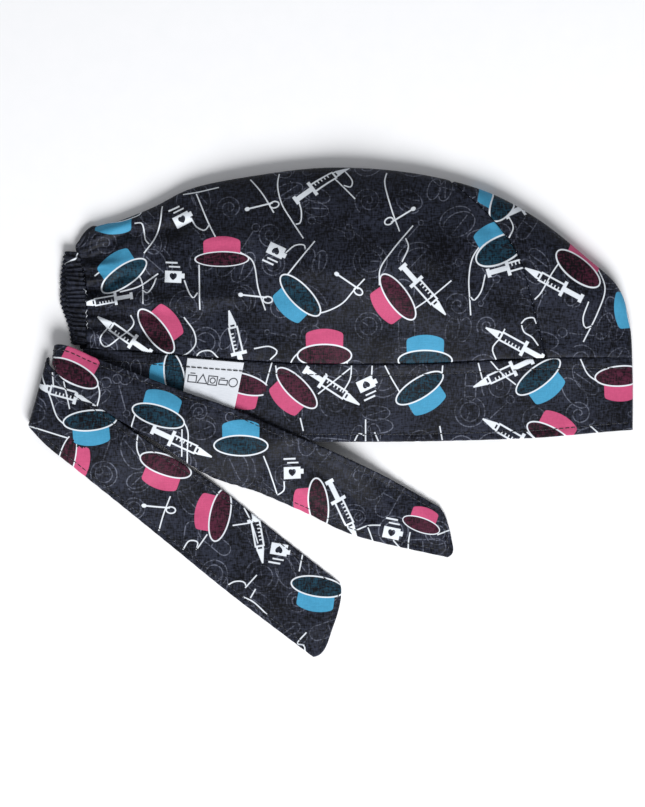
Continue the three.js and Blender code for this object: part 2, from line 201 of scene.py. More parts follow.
def lay_figures(corners, chart):
    """Screen places of each face's corners for the figures of a chart. A face belongs to the figure
    that its middle is deepest in; its corners are moved, turned and mirrored back, and below a small
    cap they are drawn out where its brim is tall."""
    screen = np.full(corners.shape, NO_INK)
    best = np.ones(len(corners))
    for row in chart:
        figure = FIGURES[row["figure"]]
        local = turned(corners - (row["x"], row["y"]), -row["turn"]) / row.get("scale", 1.0)
        local = local * (row.get("flip", 1), 1)
        if "tall" in row:
            local[..., 1] += np.minimum(local[..., 1] - TALL_BELOW, 0) * (1 / row["tall"] - 1)
        boxes = np.array(figure["boxes"])
        depth = (np.abs(local.mean(1)[:, None] - boxes[:, :2]) / boxes[:, 2:]).max(2).min(1)
        mine = depth < best
        screen[mine] = local[mine] + (figure["cell"] * CELL, 0)
        best[mine] = depth[mine]
    return screen


def lay_lines(corners, lines):
    """Screen places of each face's corners for lines: how far past the nearest line's ends it is,
    negative between them, and how far to the line's left. Off its nearest point p, with tangent t
    and curvature k, a corner c is t x (c - p) - k (t . (c - p))^2 / 2 to the left."""
    screen = np.full(corners.shape, -NO_INK)
    parts = []
    for line in lines:
        closed = np.linalg.norm(line[0] - line[-1]) < 1e-6
        length = np.linalg.norm(np.diff(line, axis=0), axis=1).sum()
        p = evenly(line, max(int(length / LINE_SPACING), 3) + 1)
        step = length / (len(p) - 1)
        t = np.gradient(p, axis=0)
        if closed:
            t[0] = t[-1] = p[1] - p[-2]
        t /= np.linalg.norm(t, axis=1, keepdims=True)
        bend = np.gradient(t, axis=0)
        k = (t[:, 0] * bend[:, 1] - t[:, 1] * bend[:, 0]) / step
        run = np.arange(len(p)) * step
        ends = np.full((len(p), 2), -1e3) if closed else np.stack([-run, run - length], 1)
        parts.append(np.column_stack([p, t, k, ends]))
    marks = np.vstack(parts)
    middles = corners.mean(1)
    nearest = np.empty(len(corners), int)
    gap = np.empty(len(corners))
    for start in range(0, len(corners), 2000):
        block = slice(start, start + 2000)
        squares = (
            (middles[block, None, 0] - marks[None, :, 0]) ** 2
            + (middles[block, None, 1] - marks[None, :, 1]) ** 2
        )
        nearest[block] = squares.argmin(1)
        gap[block] = squares.min(1) ** 0.5
    near = gap < LINE_REACH
    mark = marks[nearest[near]][:, None, :]
    off = corners[near] - mark[..., 0:2]
    ahead = (off * mark[..., 2:4]).sum(2)
    left = mark[..., 2] * off[..., 1] - mark[..., 3] * off[..., 0] - mark[..., 4] * ahead**2 / 2
    past = np.maximum(mark[..., 5] - ahead, mark[..., 6] + ahead)
    screen[near] = np.stack([past, left], 2)
    return screen


def cap_strings(chart):
    """The lines that run from each small cap's brim: a straight one on one side and a long bowed one
    on the other."""
    straight = [(-11.2, -10.0), (-11.4, -20.0), (-11.6, -32.0)]
    bowed = [(10.5, -5.5), (16.0, -11.0), (19.0, -22.0), (22.5, -33.0)]
    lines = []
    for row in chart:
        if row["figure"] in ("pink", "cyan") and row.get("strings", True):
            for points in (straight, bowed):
                local = curve_through(points, 40) * row.get("scale", 1.0)
                place = (row["x"], row["y"])
                lines.append(turned(local, row["turn"], row.get("flip", 1)) + place)
    return lines


def ghost_lines(low, high, seed, spacing=21.0):
    """Outlines of tablets, rolls, capsules and pins, strewn on a jittered grid between two corners.
    Each is made of circles, ovals, spirals and straight strokes about its own middle."""
    rng = np.random.default_rng(seed)
    round_about = np.linspace(0, 2 * np.pi, 41)
    ring = np.stack([np.cos(round_about), np.sin(round_about)], 1)
    coil = np.linspace(0.6, 4.6 * np.pi, 90)[:, None]
    spiral = np.concatenate([coil * np.cos(coil), coil * np.sin(coil)], 1) * 0.42
    pill_end = ring[:21][:, ::-1] * (2.8, 2.8)
    capsule = np.vstack([pill_end + (5.0, 0), -pill_end - (5.0, 0), pill_end[:1] + (5.0, 0)])
    figures = [
        [ring * (6.6, 4.4), np.array([(-4.6, -1.6), (4.4, 2.0)]), ring[20:] * (6.6, 4.4) - (0, 2.4)],
        [ring * 6.4, ring * 4.1, np.array([(0.0, 0.0), (3.0, 2.4)])],
        [capsule, np.array([(0.0, -2.8), (0.0, 2.8)])],
        [spiral],
        [ring * 1.9 + (7.5, 0), np.array([(5.6, 0.0), (-6.0, 0.0)]), ring * 1.4 - (7.4, 0)],
        [ring * (3.4, 6.6), np.array([(-1.2, 4.4), (1.6, -4.8)]), ring * (3.4, 6.6) + (6.2, 1.4)],
    ]
    lines = []
    for x in np.arange(low[0], high[0], spacing):
        for y in np.arange(low[1], high[1], spacing * 0.8):
            place = np.array([x, y]) + rng.uniform(-5, 5, 2)
            turn, size = rng.uniform(0, 360), rng.uniform(0.8, 1.45)
            for line in figures[rng.integers(len(figures))]:
                lines.append(turned(line * size, turn) + place)
    return lines


# Filled and hollow boxes that make up the white figures, by cell of their screen: middle, half sizes,
# and the pen's half width where the box is hollow. The syringe points to +x.
WHITE_BOXES = [
    {"cell": 0, "x": -14.6, "y": 0.0, "a": 0.9, "b": 2.2},       # thumb rest
    {"cell": 0, "x": -9.6, "y": 0.0, "a": 4.6, "b": 1.25},       # plunger
    {"cell": 0, "x": -4.6, "y": 0.0, "a": 0.85, "b": 4.0},       # finger flange
    {"cell": 0, "x": 2.0, "y": 0.0, "a": 6.4, "b": 2.1, "pen": 0.42},      # barrel
    {"cell": 0, "x": 9.4, "y": 0.0, "a": 0.9, "b": 1.5, "pen": 0.42},      # collar
    {"cell": 1, "x": 0.0, "y": 0.0, "a": 4.2, "b": 2.9},         # card
    {"cell": 1, "x": 4.8, "y": 0.6, "a": 0.9, "b": 1.2},         # its clip
    {"cell": 1, "x": -1.2, "y": 7.0, "a": 3.0, "b": 0.42},       # dashes over it
    {"cell": 1, "x": 0.4, "y": 5.0, "a": 2.8, "b": 0.36},
    {"cell": 2, "x": 0.0, "y": 0.0, "a": 6.4, "b": 0.38},        # swab's stick
]
NOZZLE = {"from": 10.2, "to": 17.2, "wide": 1.9, "tip": 0.35}
BARREL_TICKS = {"first": -2.2, "pitch": 1.9, "count": 5, "a": 0.28, "b": 0.75, "y": 1.05}
SWAB_BUD = {"x": -6.6, "a": 1.3, "b": 1.0}
SWAB_LOOP = {"x": 7.0, "y": -1.1, "a": 2.3, "b": 1.6, "pen": 0.33}
HEART_HALF = 1.6
BRIM = {"y": -8.4, "a": 13.4, "b": 5.0, "pen": 0.34}
SMALL_CAP = {"side": 9.3, "flare": 0.03, "dome_y": -6.2, "dome_a": 15.0, "dome_b": 10.5, "soft": 1.8}


def union(tree, distances):
    """The nearest of some distances, as a chain of minimums."""
    least = distances[0]
    for other in distances[1:]:
        least = add_node(tree, "Math", {0: least, 1: other}, operation="MINIMUM")
    return least


def box_distance(tree, place, x, y, a, b, pen=0):
    """How far a place is outside a box: max(|px - x| - a, |py - y| - b), and for a hollow box the
    size of that less the pen's half width."""
    off = add_node(tree, "VectorMath", {0: place, 1: (x, y, 0)}, operation="SUBTRACT")
    off = add_node(tree, "VectorMath", {0: off}, operation="ABSOLUTE")
    off = add_node(tree, "VectorMath", {0: off, 1: (a, b, 0)}, operation="SUBTRACT")
    sides = add_node(tree, "SeparateXYZ", {0: off})
    far = add_node(tree, "Math", {0: sides.outputs[0], 1: sides.outputs[1]}, operation="MAXIMUM")
    if pen:
        size = add_node(tree, "Math", {0: far}, operation="ABSOLUTE")
        far = add_node(tree, "Math", {0: size, 1: pen}, operation="SUBTRACT")
    return far


def oval_distance(tree, place, x, y, a, b):
    """About how far a place is outside an oval: with q = (p - m) / (a, b), (|q| - 1) |q| divided by
    |(p - m) / (aa, bb)|."""
    off = add_node(tree, "VectorMath", {0: place, 1: (x, y, 0)}, operation="SUBTRACT")
    lengths = []
    for divisor in ((a, b, 1), (a * a, b * b, 1)):
        q = add_node(tree, "VectorMath", {0: off, 1: divisor}, operation="DIVIDE")
        lengths.append(add_node(tree, "VectorMath", {0: q}, operation="LENGTH").outputs[1])
    less = add_node(tree, "Math", {0: lengths[0], 1: 1.0}, operation="SUBTRACT")
    top = add_node(tree, "Math", {0: less, 1: lengths[0]}, operation="MULTIPLY")
    return add_node(tree, "Math", {0: top, 1: lengths[1]}, operation="DIVIDE")


def ink(tree, distance, blur=0.12):
    """1 where a distance is negative and 0 where it is positive, with the soft edge of a print."""
    return add_node(tree, "MapRange", {0: distance, 1: -blur, 2: blur, 3: 1.0, 4: 0.0})


def white_figures(tree):
    """Ink of the syringes, cards and swabs."""
    place = add_node(tree, "UVMap", uv_map="white_screen")
    boxes = [
        box_distance(tree, place, r["x"] + r["cell"] * CELL, r["y"], r["a"], r["b"], r.get("pen", 0))
        for r in WHITE_BOXES
    ]
    sides = add_node(tree, "SeparateXYZ", {0: place})
    x, y = sides.outputs[0], sides.outputs[1]
    # The nozzle narrows from its wide end to its tip: |y| less the width there, cut at both ends.
    slope = (NOZZLE["wide"] - NOZZLE["tip"]) / (NOZZLE["to"] - NOZZLE["from"])
    width = add_node(
        tree,
        "Math",
        {0: x, 1: -slope, 2: NOZZLE["wide"] + slope * NOZZLE["from"]},
        operation="MULTIPLY_ADD",
    )
    size = add_node(tree, "Math", {0: y}, operation="ABSOLUTE")
    beside = add_node(tree, "Math", {0: size, 1: width}, operation="SUBTRACT")
    half_long = (NOZZLE["to"] - NOZZLE["from"]) / 2
    ends = box_distance(tree, place, NOZZLE["from"] + half_long, 0, half_long, NOZZLE["wide"] + 1)
    nozzle = add_node(tree, "Math", {0: beside, 1: ends}, operation="MAXIMUM")
    # The barrel's marks hang from its upper side.
    ticks = [
        box_distance(
            tree,
            place,
            BARREL_TICKS["first"] + k * BARREL_TICKS["pitch"],
            BARREL_TICKS["y"],
            BARREL_TICKS["a"],
            BARREL_TICKS["b"],
        )
        for k in range(BARREL_TICKS["count"])
    ]
    bud, loop = SWAB_BUD, SWAB_LOOP
    swab_bud = oval_distance(tree, place, 2 * CELL + bud["x"], 0, bud["a"], bud["b"])
    swab_loop = oval_distance(tree, place, 2 * CELL + loop["x"], loop["y"], loop["a"], loop["b"])
    loop_size = add_node(tree, "Math", {0: swab_loop}, operation="ABSOLUTE")
    loop_line = add_node(tree, "Math", {0: loop_size, 1: loop["pen"]}, operation="SUBTRACT")
    white = union(tree, [*boxes, nozzle, *ticks, swab_bud, loop_line])
    # A heart is left open in the card: (xx + yy - 1)^3 - xx yyy, in units of its half width.
    heart = add_node(
        tree,
        "Mapping",
        {
            0: place,
            "Location": (-CELL / HEART_HALF, 0.1, 0),
            "Scale": (1 / HEART_HALF, 1 / HEART_HALF, 1),
        },
    )
    hearts = add_node(tree, "SeparateXYZ", {0: heart})
    xx = add_node(tree, "Math", {0: hearts.outputs[0], 1: 2.0}, operation="POWER")
    yy = add_node(tree, "Math", {0: hearts.outputs[1], 1: hearts.outputs[1]}, operation="MULTIPLY")
    both = add_node(tree, "Math", {0: xx, 1: yy}, operation="ADD")
    disc = add_node(tree, "Math", {0: both, 1: 1.0}, operation="SUBTRACT")
    cube = add_node(tree, "Math", {0: disc, 1: disc}, operation="MULTIPLY")
    cube = add_node(tree, "Math", {0: cube, 1: disc}, operation="MULTIPLY")
    yyy = add_node(tree, "Math", {0: yy, 1: hearts.outputs[1]}, operation="MULTIPLY")
    notch = add_node(tree, "Math", {0: xx, 1: yyy}, operation="MULTIPLY")
    inside = add_node(tree, "Math", {0: notch, 1: cube}, operation="GREATER_THAN")
    return add_node(
        tree, "Math", {0: ink(tree, white), 1: inside}, operation="SUBTRACT", use_clamp=True
    )


def printed_poplin():
    """Poplin: dyed near black, matt with a slight sheen from its fine threads, its print lying in
    the surface and so a little flatter than the cloth."""
    tree, material = new_material("printed_poplin")
    cloth = add_node(tree, "UVMap", uv_map="flat_cloth")
    # Warp and weft threads are 0.3 mm apart, too fine to show: they are drawn as slubs 0.8 mm wide.
    threads = []
    for squeeze in ((1.25, 0.35, 1), (0.35, 1.25, 1)):
        stretched = add_node(tree, "Mapping", {0: cloth, "Scale": squeeze})
        threads.append(add_node(tree, "TexNoise", {"Vector": stretched, "Scale": 1.0, "Detail": 2.0}))
    weave = add_node(tree, "Math", {0: threads[0], 1: threads[1]}, operation="ADD")
    fading = add_node(tree, "TexNoise", {"Vector": cloth, "Scale": 0.045, "Detail": 3.0})
    shade = add_node(tree, "Math", {0: weave, 1: 0.5, 2: 0.5}, operation="MULTIPLY_ADD")
    shade = add_node(tree, "Math", {0: fading, 1: 0.35, 2: shade}, operation="MULTIPLY_ADD")
    black = add_node(tree, "MapRange", {0: shade, 1: 1.09, 2: 1.29})
    colour = add_node(
        tree, "Mix", {0: black, 6: linear("#020308"), 7: linear("#292d3b")}, data_type="RGBA"
    ).outputs[2]

    # Dark grey outlines, faint in places, and then white lines. Each screen gives how far a place
    # is past its line's ends and how far it is to the line's left.
    faint = add_node(tree, "MapRange", {0: fading, 1: 0.37, 2: 0.64, 3: 0.15, 4: 0.85})
    chalky = add_node(tree, "MapRange", {0: black, 1: 0.2, 2: 0.7, 3: 0.25, 4: 1.0})
    faint = add_node(tree, "Math", {0: faint, 1: chalky}, operation="MULTIPLY")
    for screen, pen, blur, hue, cover in (
        ("grey_lines", 0.22, 0.2, "#747989", faint),
        ("white_lines", 0.31, 0.12, WHITE_INK, 1.0),
    ):
        place = add_node(tree, "UVMap", uv_map=screen)
        sides = add_node(tree, "SeparateXYZ", {0: place})
        off = add_node(tree, "Math", {0: sides.outputs[1]}, operation="ABSOLUTE")
        off = add_node(tree, "Math", {0: off, 1: pen}, operation="SUBTRACT")
        off = add_node(tree, "Math", {0: off, 1: sides.outputs[0]}, operation="MAXIMUM")
        covered = add_node(tree, "Math", {0: ink(tree, off, blur), 1: cover}, operation="MULTIPLY")
        colour = add_node(
            tree, "Mix", {0: covered, 6: colour, 7: linear(hue)}, data_type="RGBA"
        ).outputs[2]
    colour = add_node(
        tree, "Mix", {0: white_figures(tree), 6: colour, 7: linear(WHITE_INK)}, data_type="RGBA"
    ).outputs[2]

    # The small caps: the pink one in the first cell of their screen, the cyan one in the next.
    place = add_node(tree, "UVMap", uv_map="cap_screen")
    sides = add_node(tree, "SeparateXYZ", {0: place})
    second = add_node(tree, "Math", {0: sides.outputs[0], 1: CELL / 2}, operation="GREATER_THAN")
    shift = add_node(tree, "Math", {0: second, 1: -CELL, 2: sides.outputs[0]}, operation="MULTIPLY_ADD")
    local = add_node(tree, "CombineXYZ", {0: shift, 1: sides.outputs[1]})
    # The inside of a cap is its own colour in deep shade.
    shaded = add_node(
        tree, "Mix", {0: second, 6: linear("#4a1c30"), 7: linear("#173c4e")}, data_type="RGBA"
    ).outputs[2]
    shaded = add_node(
        tree, "Mix", {0: black, 6: linear("#08060c"), 7: shaded}, data_type="RGBA"
    ).outputs[2]
    brim = oval_distance(tree, local, 0, BRIM["y"], BRIM["a"], BRIM["b"])
    dome = oval_distance(tree, local, 0, SMALL_CAP["dome_y"], SMALL_CAP["dome_a"], SMALL_CAP["dome_b"])
    size = add_node(tree, "Math", {0: shift}, operation="ABSOLUTE")
    side = add_node(
        tree, "Math", {0: sides.outputs[1], 1: -SMALL_CAP["flare"], 2: size}, operation="MULTIPLY_ADD"
    )
    side = add_node(tree, "Math", {0: side, 1: SMALL_CAP["side"]}, operation="SUBTRACT")
    above = add_node(tree, "Math", {0: BRIM["y"], 1: sides.outputs[1]}, operation="SUBTRACT")
    body = side
    for other in (dome, above):
        body = add_node(tree, "Math", {0: body, 1: other, 2: SMALL_CAP["soft"]}, operation="SMOOTH_MAX")
    two_inks = add_node(
        tree, "Mix", {0: second, 6: linear(PINK_INK), 7: linear(CYAN_INK)}, data_type="RGBA"
    )
    mottle = add_node(
        tree,
        "Mix",
        {0: black, 6: two_inks.outputs[2], 7: linear("#ffffff")},
        data_type="RGBA",
        blend_type="OVERLAY",
    )
    mottle_less = add_node(
        tree, "Mix", {0: 0.12, 6: two_inks.outputs[2], 7: mottle.outputs[2]}, data_type="RGBA"
    )
    colour = add_node(
        tree, "Mix", {0: ink(tree, body), 6: colour, 7: mottle_less.outputs[2]}, data_type="RGBA"
    ).outputs[2]
    colour = add_node(
        tree, "Mix", {0: ink(tree, brim), 6: colour, 7: shaded}, data_type="RGBA"
    ).outputs[2]
    outline = add_node(tree, "Math", {0: brim}, operation="ABSOLUTE")
    outline = add_node(tree, "Math", {0: outline, 1: BRIM["pen"]}, operation="SUBTRACT")
    colour = add_node(
        tree, "Mix", {0: ink(tree, outline), 6: colour, 7: linear(WHITE_INK)}, data_type="RGBA"
    ).outputs[2]

    rough = add_node(tree, "MapRange", {0: weave, 1: 0.6, 2: 1.4, 3: 0.5, 4: 0.66})
    bump = add_node(tree, "Bump", {"Height": weave, "Strength": 0.5, "Distance": 0.00012})
    poplin = add_node(
        tree,
        "BsdfPrincipled",
        {
            "Base Color": colour,
            "Roughness": rough,
            "Normal": bump,
            "Specular IOR Level": 0.14,
            "Sheen Weight": 0.03,
            "Sheen Roughness": 0.45,
            "Sheen Tint": linear("#c9d4ee"),
        },
    )
    add_node(tree, "OutputMaterial", {"Surface": poplin})
    return material


def poplin_reverse():
    """The back of the same poplin: the dye goes through and the print hardly does, so it is an even
    charcoal, a little paler and duller than the face."""
    tree, material = new_material("poplin_reverse")
    cloth = add_node(tree, "UVMap", uv_map="flat_cloth")
    weave = add_node(tree, "TexNoise", {"Vector": cloth, "Scale": 0.9, "Detail": 3.0})
    colour = add_node(
        tree, "Mix", {0: weave, 6: linear("#1d1f28"), 7: linear("#31343f")}, data_type="RGBA"
    )
    bump = add_node(tree, "Bump", {"Height": weave, "Strength": 0.5, "Distance": 0.00012})
    back = add_node(
        tree,
        "BsdfPrincipled",
        {
            "Base Color": colour.outputs[2],
            "Normal": bump,
            "Roughness": 0.75,
            "Specular IOR Level": 0.2,
            "Sheen Weight": 0.05,
        },
    )
    add_node(tree, "OutputMaterial", {"Surface": back})
    return material


poplin_face, poplin_back = printed_poplin(), poplin_reverse()


# ---- the crown's back piece ---------------------------------------------------------------------
# The larger piece of the crown, cut on the fold: it runs from the gathered nape over the top to the
# temple seam. The cap lies on its left half, and the right half lies over that, puffed up a little,
# with drag lines that fan out from the gathers and a soft valley beside the seam.
CLOTH_WALL = 1.2            # thick, with its turnings
HEM_HEIGHT, NAPE_HEIGHT = 10.0, 5.6     # of the folded cap, before the crown's puff
CROWN_PUFF = 16.0
FOLD_LIFT = 0.55            # of the folded edge, as a share of the height beside it
UPPER_ROUND, LOWER_ROUND = 22.0, 8.0    # reach of the roundings beside the folded edge
NAPE_X, BAND_END_X = -121.0, -124.0
NAPE_CORNER = 0.35          # share of the nape over which its corner is drawn in
LOWER_NAPE_SHIFT = -3.6     # of the left half's nape, against the right half's
SEAM_GAP = 0.08             # between two pieces sewn together
TUCK = 1.2                  # how far the gathered edge goes into its casing

CENTRE_LINE = [
    (-126.3, 85), (-120, 93.5), (-104, 98.5), (-88, 105), (-71, 113.5), (-40, 120), (0, 124.4),
    (44, 121.2), (79, 112), (104, 98.5), (128, 79.5), (144, 64.5), (149.6, 48), (151.3, 22),
    (151.4, -7),
]
TEMPLE_SEAM = [(59.8, 118.2), (79.3, 100), (93.8, 79), (100.3, 56.5), (107.3, 29)]
FOREHEAD_CORNER = (151.35, 29.5)
BAND_EDGES = [
    {"x": -128, "hem": -7.4, "seam": 34}, {"x": -72, "hem": -11, "seam": 30},
    {"x": -20, "hem": -12.7, "seam": 26.4}, {"x": 40, "hem": -12.8, "seam": 26},
    {"x": 102, "hem": -11, "seam": 28.8}, {"x": 152, "hem": -7, "seam": 29.5},
]
DENTS = [                   # where the puffed crown has sunk in, deepest near the first place
    {"from": (-121, 78), "to": (-48, 92), "depth": 2.4, "width": 6},
    {"from": (-121, 62), "to": (-70, 66), "depth": 1.6, "width": 5},
    {"from": (-121, 45), "to": (-80, 40), "depth": 1.6, "width": 5},
    {"from": (-20, 96), "to": (62, 84), "depth": 1.6, "width": 12},
    {"from": (-40, 44), "to": (40, 50), "depth": 1.2, "width": 10},
]
DRAG_FOLDS = [              # ridges, and valleys where the height is negative, off the nape
    {"line": [(-123, 80), (-102, 89.5), (-70, 95)], "height": -2.9, "width": 3.6},
    {"line": [(-125, 88), (-105, 95.5), (-84, 103)], "height": 1.9, "width": 4.0},
    {"line": [(-104, 81), (-70, 88), (-40, 90)], "height": 1.9, "width": 4.5},
    {"line": [(-121.6, 62.7), (-111, 67.3), (-85.4, 69.7)], "height": -2.6, "width": 3.0},
    {"line": [(-120.4, 58), (-101.8, 55), (-75, 58), (-52, 58)], "height": 2.2, "width": 4.0},
    {"line": [(-120.4, 51), (-105.3, 52.2), (-90, 51)], "height": -2.5, "width": 3.0},
    {"line": [(-121, 41), (-104, 40), (-84, 34)], "height": 1.9, "width": 3.2},
    {"line": [(64, 110), (76, 97), (86, 80)], "height": -2.3, "width": 5.5},
    {"line": [(-42, 84), (0, 74), (46, 80)], "height": 1.4, "width": 9.0},
    {"line": [(-60, 46), (-10, 62), (40, 44)], "height": -1.3, "width": 8.0},
]
GATHERS = [                 # across the nape: pitch, height, and how far they run into the crown
    {"pitch": 3.2, "height": 0.7, "run": 7.0, "seed": 3},
    {"pitch": 8.2, "height": 1.7, "run": 24.0, "seed": 4},
]
RUMPLE = [                  # soft unevenness all over
    {"size": 30.0, "height": 1.5, "seed": 5}, {"size": 13.0, "height": 0.65, "seed": 7},
    {"size": 6.0, "height": 0.14, "seed": 6},
]
SEAM_ROLL = {"depth": 0.36, "width": 0.8}

fold_line = curve_through(CENTRE_LINE, 401)
seam_line = curve_through(TEMPLE_SEAM, 401)
TEMPLE_TOP = np.hypot(*(fold_line - TEMPLE_SEAM[0]).T).argmin() / (len(fold_line) - 1)


def smooth(t):
    """0 below 0, 1 above 1, and 3tt - 2ttt between."""
    c = np.clip(t, 0, 1)
    return c * c * (3 - 2 * c)


def soft_noise(x, y, size, seed):
    """Values from -1 to 1 that change smoothly over about that size: random values on a square
    lattice, eased from corner to corner."""
    lattice = np.random.default_rng(seed).uniform(-1, 1, (97, 97))
    gx, gy = x / size + 40.5, y / size + 40.5
    i, j = np.floor(gx).astype(int) % 96, np.floor(gy).astype(int) % 96
    fx, fy = smooth(gx - np.floor(gx)), smooth(gy - np.floor(gy))
    near = lattice[i, j] * (1 - fx) + lattice[i + 1, j] * fx
    far = lattice[i, j + 1] * (1 - fx) + lattice[i + 1, j + 1] * fx
    return near * (1 - fy) + far * fy


def along(line, t):
    """The place at share t of a line's length."""
    at = np.clip(t, 0, 1) * (len(line) - 1)
    return np.stack([np.interp(at, np.arange(len(line)), column) for column in line.T], -1)


def distance_to(line, x, y):
    """The least distance from places to a line of short straight stretches."""
    least = np.full(np.shape(x), np.inf)
    for a, b in zip(line[:-1], line[1:]):
        d = b - a
        t = np.clip(((x - a[0]) * d[0] + (y - a[1]) * d[1]) / (d @ d), 0, 1)
        least = np.minimum(least, (x - a[0] - t * d[0]) ** 2 + (y - a[1] - t * d[1]) ** 2)
    return np.sqrt(least)


def between_rows(column, s):
    """A table's column read at s rows from its first: a Catmull-Rom cubic between two rows, whose
    end slopes are half the steps over the neighbouring rows."""
    column = np.asarray(column, float)
    i = np.clip(np.floor(s).astype(int), 0, len(column) - 2)
    t = s - i
    v = [column[np.clip(i + k, 0, len(column) - 1)] for k in (-1, 0, 1, 2)]
    leave, arrive = (v[2] - v[0]) / 2, (v[3] - v[1]) / 2
    return (
        (2 * t**3 - 3 * t**2 + 1) * v[1]
        + (t**3 - 2 * t**2 + t) * leave
        + (3 * t**2 - 2 * t**3) * v[2]
        + (t**3 - t**2) * arrive
    )


def band_edge(x, key):
    """The y of the band's hem or upper seam over x."""
    rows = [row["x"] for row in BAND_EDGES]
    return between_rows([row[key] for row in BAND_EDGES], np.interp(x, rows, np.arange(len(rows))))


def quarter_round(distance, reach):
    """0 at the fold, where it starts upright, to 1 from the reach inwards: sqrt(1 - (1 - d / r)^2)."""
    return np.sqrt(1 - (1 - np.minimum(distance / reach, 1)) ** 2)


def base_height(x):
    """The folded cap's height: from the nape's to the hem's by a smooth step."""
    return NAPE_HEIGHT + (HEM_HEIGHT - NAPE_HEIGHT) * smooth((x + 125) / 85)


def dent_depth(x, y):
    """The dents' depths added up: each is a bell across its line that fades towards its far end."""
    total = 0
    for d in DENTS:
        a, b = np.array(d["from"], float), np.array(d["to"], float)
        c = np.clip(((x - a[0]) * (b - a)[0] + (y - a[1]) * (b - a)[1]) / ((b - a) @ (b - a)), 0, 1)
        off = np.hypot(x - a[0] - c * (b - a)[0], y - a[1] - c * (b - a)[1])
        bell = d["depth"] * np.exp(-((off / d["width"]) ** 2))
        total = total + bell * smooth(2 - 2 * c) * smooth(0.4 + 3 * c)
    return total


def upper_height(x, y, distance, relief):
    """The right half's outside: the hem's height and the crown's puff, less the dents, plus a fine
    relief, all rounded down to the folded edge."""
    base = base_height(x)
    puff = CROWN_PUFF * np.exp(-(((x - 15) / 95) ** 2) - ((y - 68) / 48) ** 2)
    full = np.maximum(base + puff - dent_depth(x, y) * smooth((y - 30) / 12), FOLD_LIFT * base + 1.5)
    edge = FOLD_LIFT * base
    return edge + (full - edge + relief) * quarter_round(distance, UPPER_ROUND)


def lower_height(x, distance):
    """The left half's outside, which lies on the table and rises to the folded edge."""
    return FOLD_LIFT * base_height(x) * (1 - quarter_round(distance, LOWER_ROUND))


def crown_relief(x, y):
    """Gathers that fan out from the nape and die away, drag folds, puckers along both seams, the
    seams' rolled edges, and the cloth's own rumple."""
    inward = np.maximum(x - NAPE_X, 0)
    fan = (y - 58) / (1 + inward / 75)
    relief = 0
    for g in GATHERS:
        sway = soft_noise(x, y, 11.0, g["seed"]) * g["pitch"] * 0.3
        strength = 0.65 + 0.35 * soft_noise(x * 0.3, y, g["pitch"] * 2.2, g["seed"] + 20)
        ridge = np.cos(2 * np.pi * (fan + sway) / g["pitch"])
        relief = relief + g["height"] * strength * ridge * np.exp(-inward / g["run"])
    for r in RUMPLE:
        relief = relief + r["height"] * soft_noise(x, y, r["size"], r["seed"])
    above_band = np.maximum(y - band_edge(x, "seam"), 0)
    off_temple = distance_to(seam_line[::8], x, y)
    for off, run, pitch, seed in ((above_band, x, 7.5, 8), (off_temple, y, 6.5, 9)):
        sway = 1.6 * soft_noise(x, y, 14.0, seed)
        relief = relief + 0.2 * np.cos(2 * np.pi * (run + sway) / pitch) * np.exp(-off / 5)
        relief = relief - SEAM_ROLL["depth"] * np.exp(-((off / SEAM_ROLL["width"]) ** 2))
    for fold in DRAG_FOLDS:
        line = curve_through(fold["line"], 20)
        sway = 1.5 * soft_noise(x, y, 12.0, 12)
        off = distance_to(line, x + sway, y - sway)
        relief = relief + fold["height"] * np.exp(-((off / fold["width"]) ** 2))
    return relief


def spaced(length, pitch, marks=()):
    """Shares from 0 to 1 of a length, a pitch apart, closer in the last millimetre at either end,
    where a wall's edge is round, and with any marks among them."""
    close = np.array([0.0, 0.05, 0.18, 0.38, 0.62]) / length
    count = int(round((length - 2) / pitch)) + 1
    inner = np.linspace(1 / length, 1 - 1 / length, count)
    for mark in marks:
        inner[np.abs(inner - mark / length).argmin()] = mark / length
    return np.concatenate([close, inner, 1 - close[::-1]])


def spaced_over_fold(length, upper, lower, power=1.6):
    """Signed shares of a half sheet's length, from -1 at the left half's edge through 0 on the fold
    to 1 at the right half's edge. They crowd towards the fold by a power and close up at edges."""
    close = np.array([0.62, 0.38, 0.18, 0.05, 0.0]) / length
    top = np.concatenate([(1 - 1.1 / length) * (np.arange(upper + 1) / upper) ** power, 1 - close])
    under = np.concatenate([(1 - 1.1 / length) * (np.arange(1, lower + 1) / lower) ** power, 1 - close])
    return np.concatenate([-under[::-1], top])


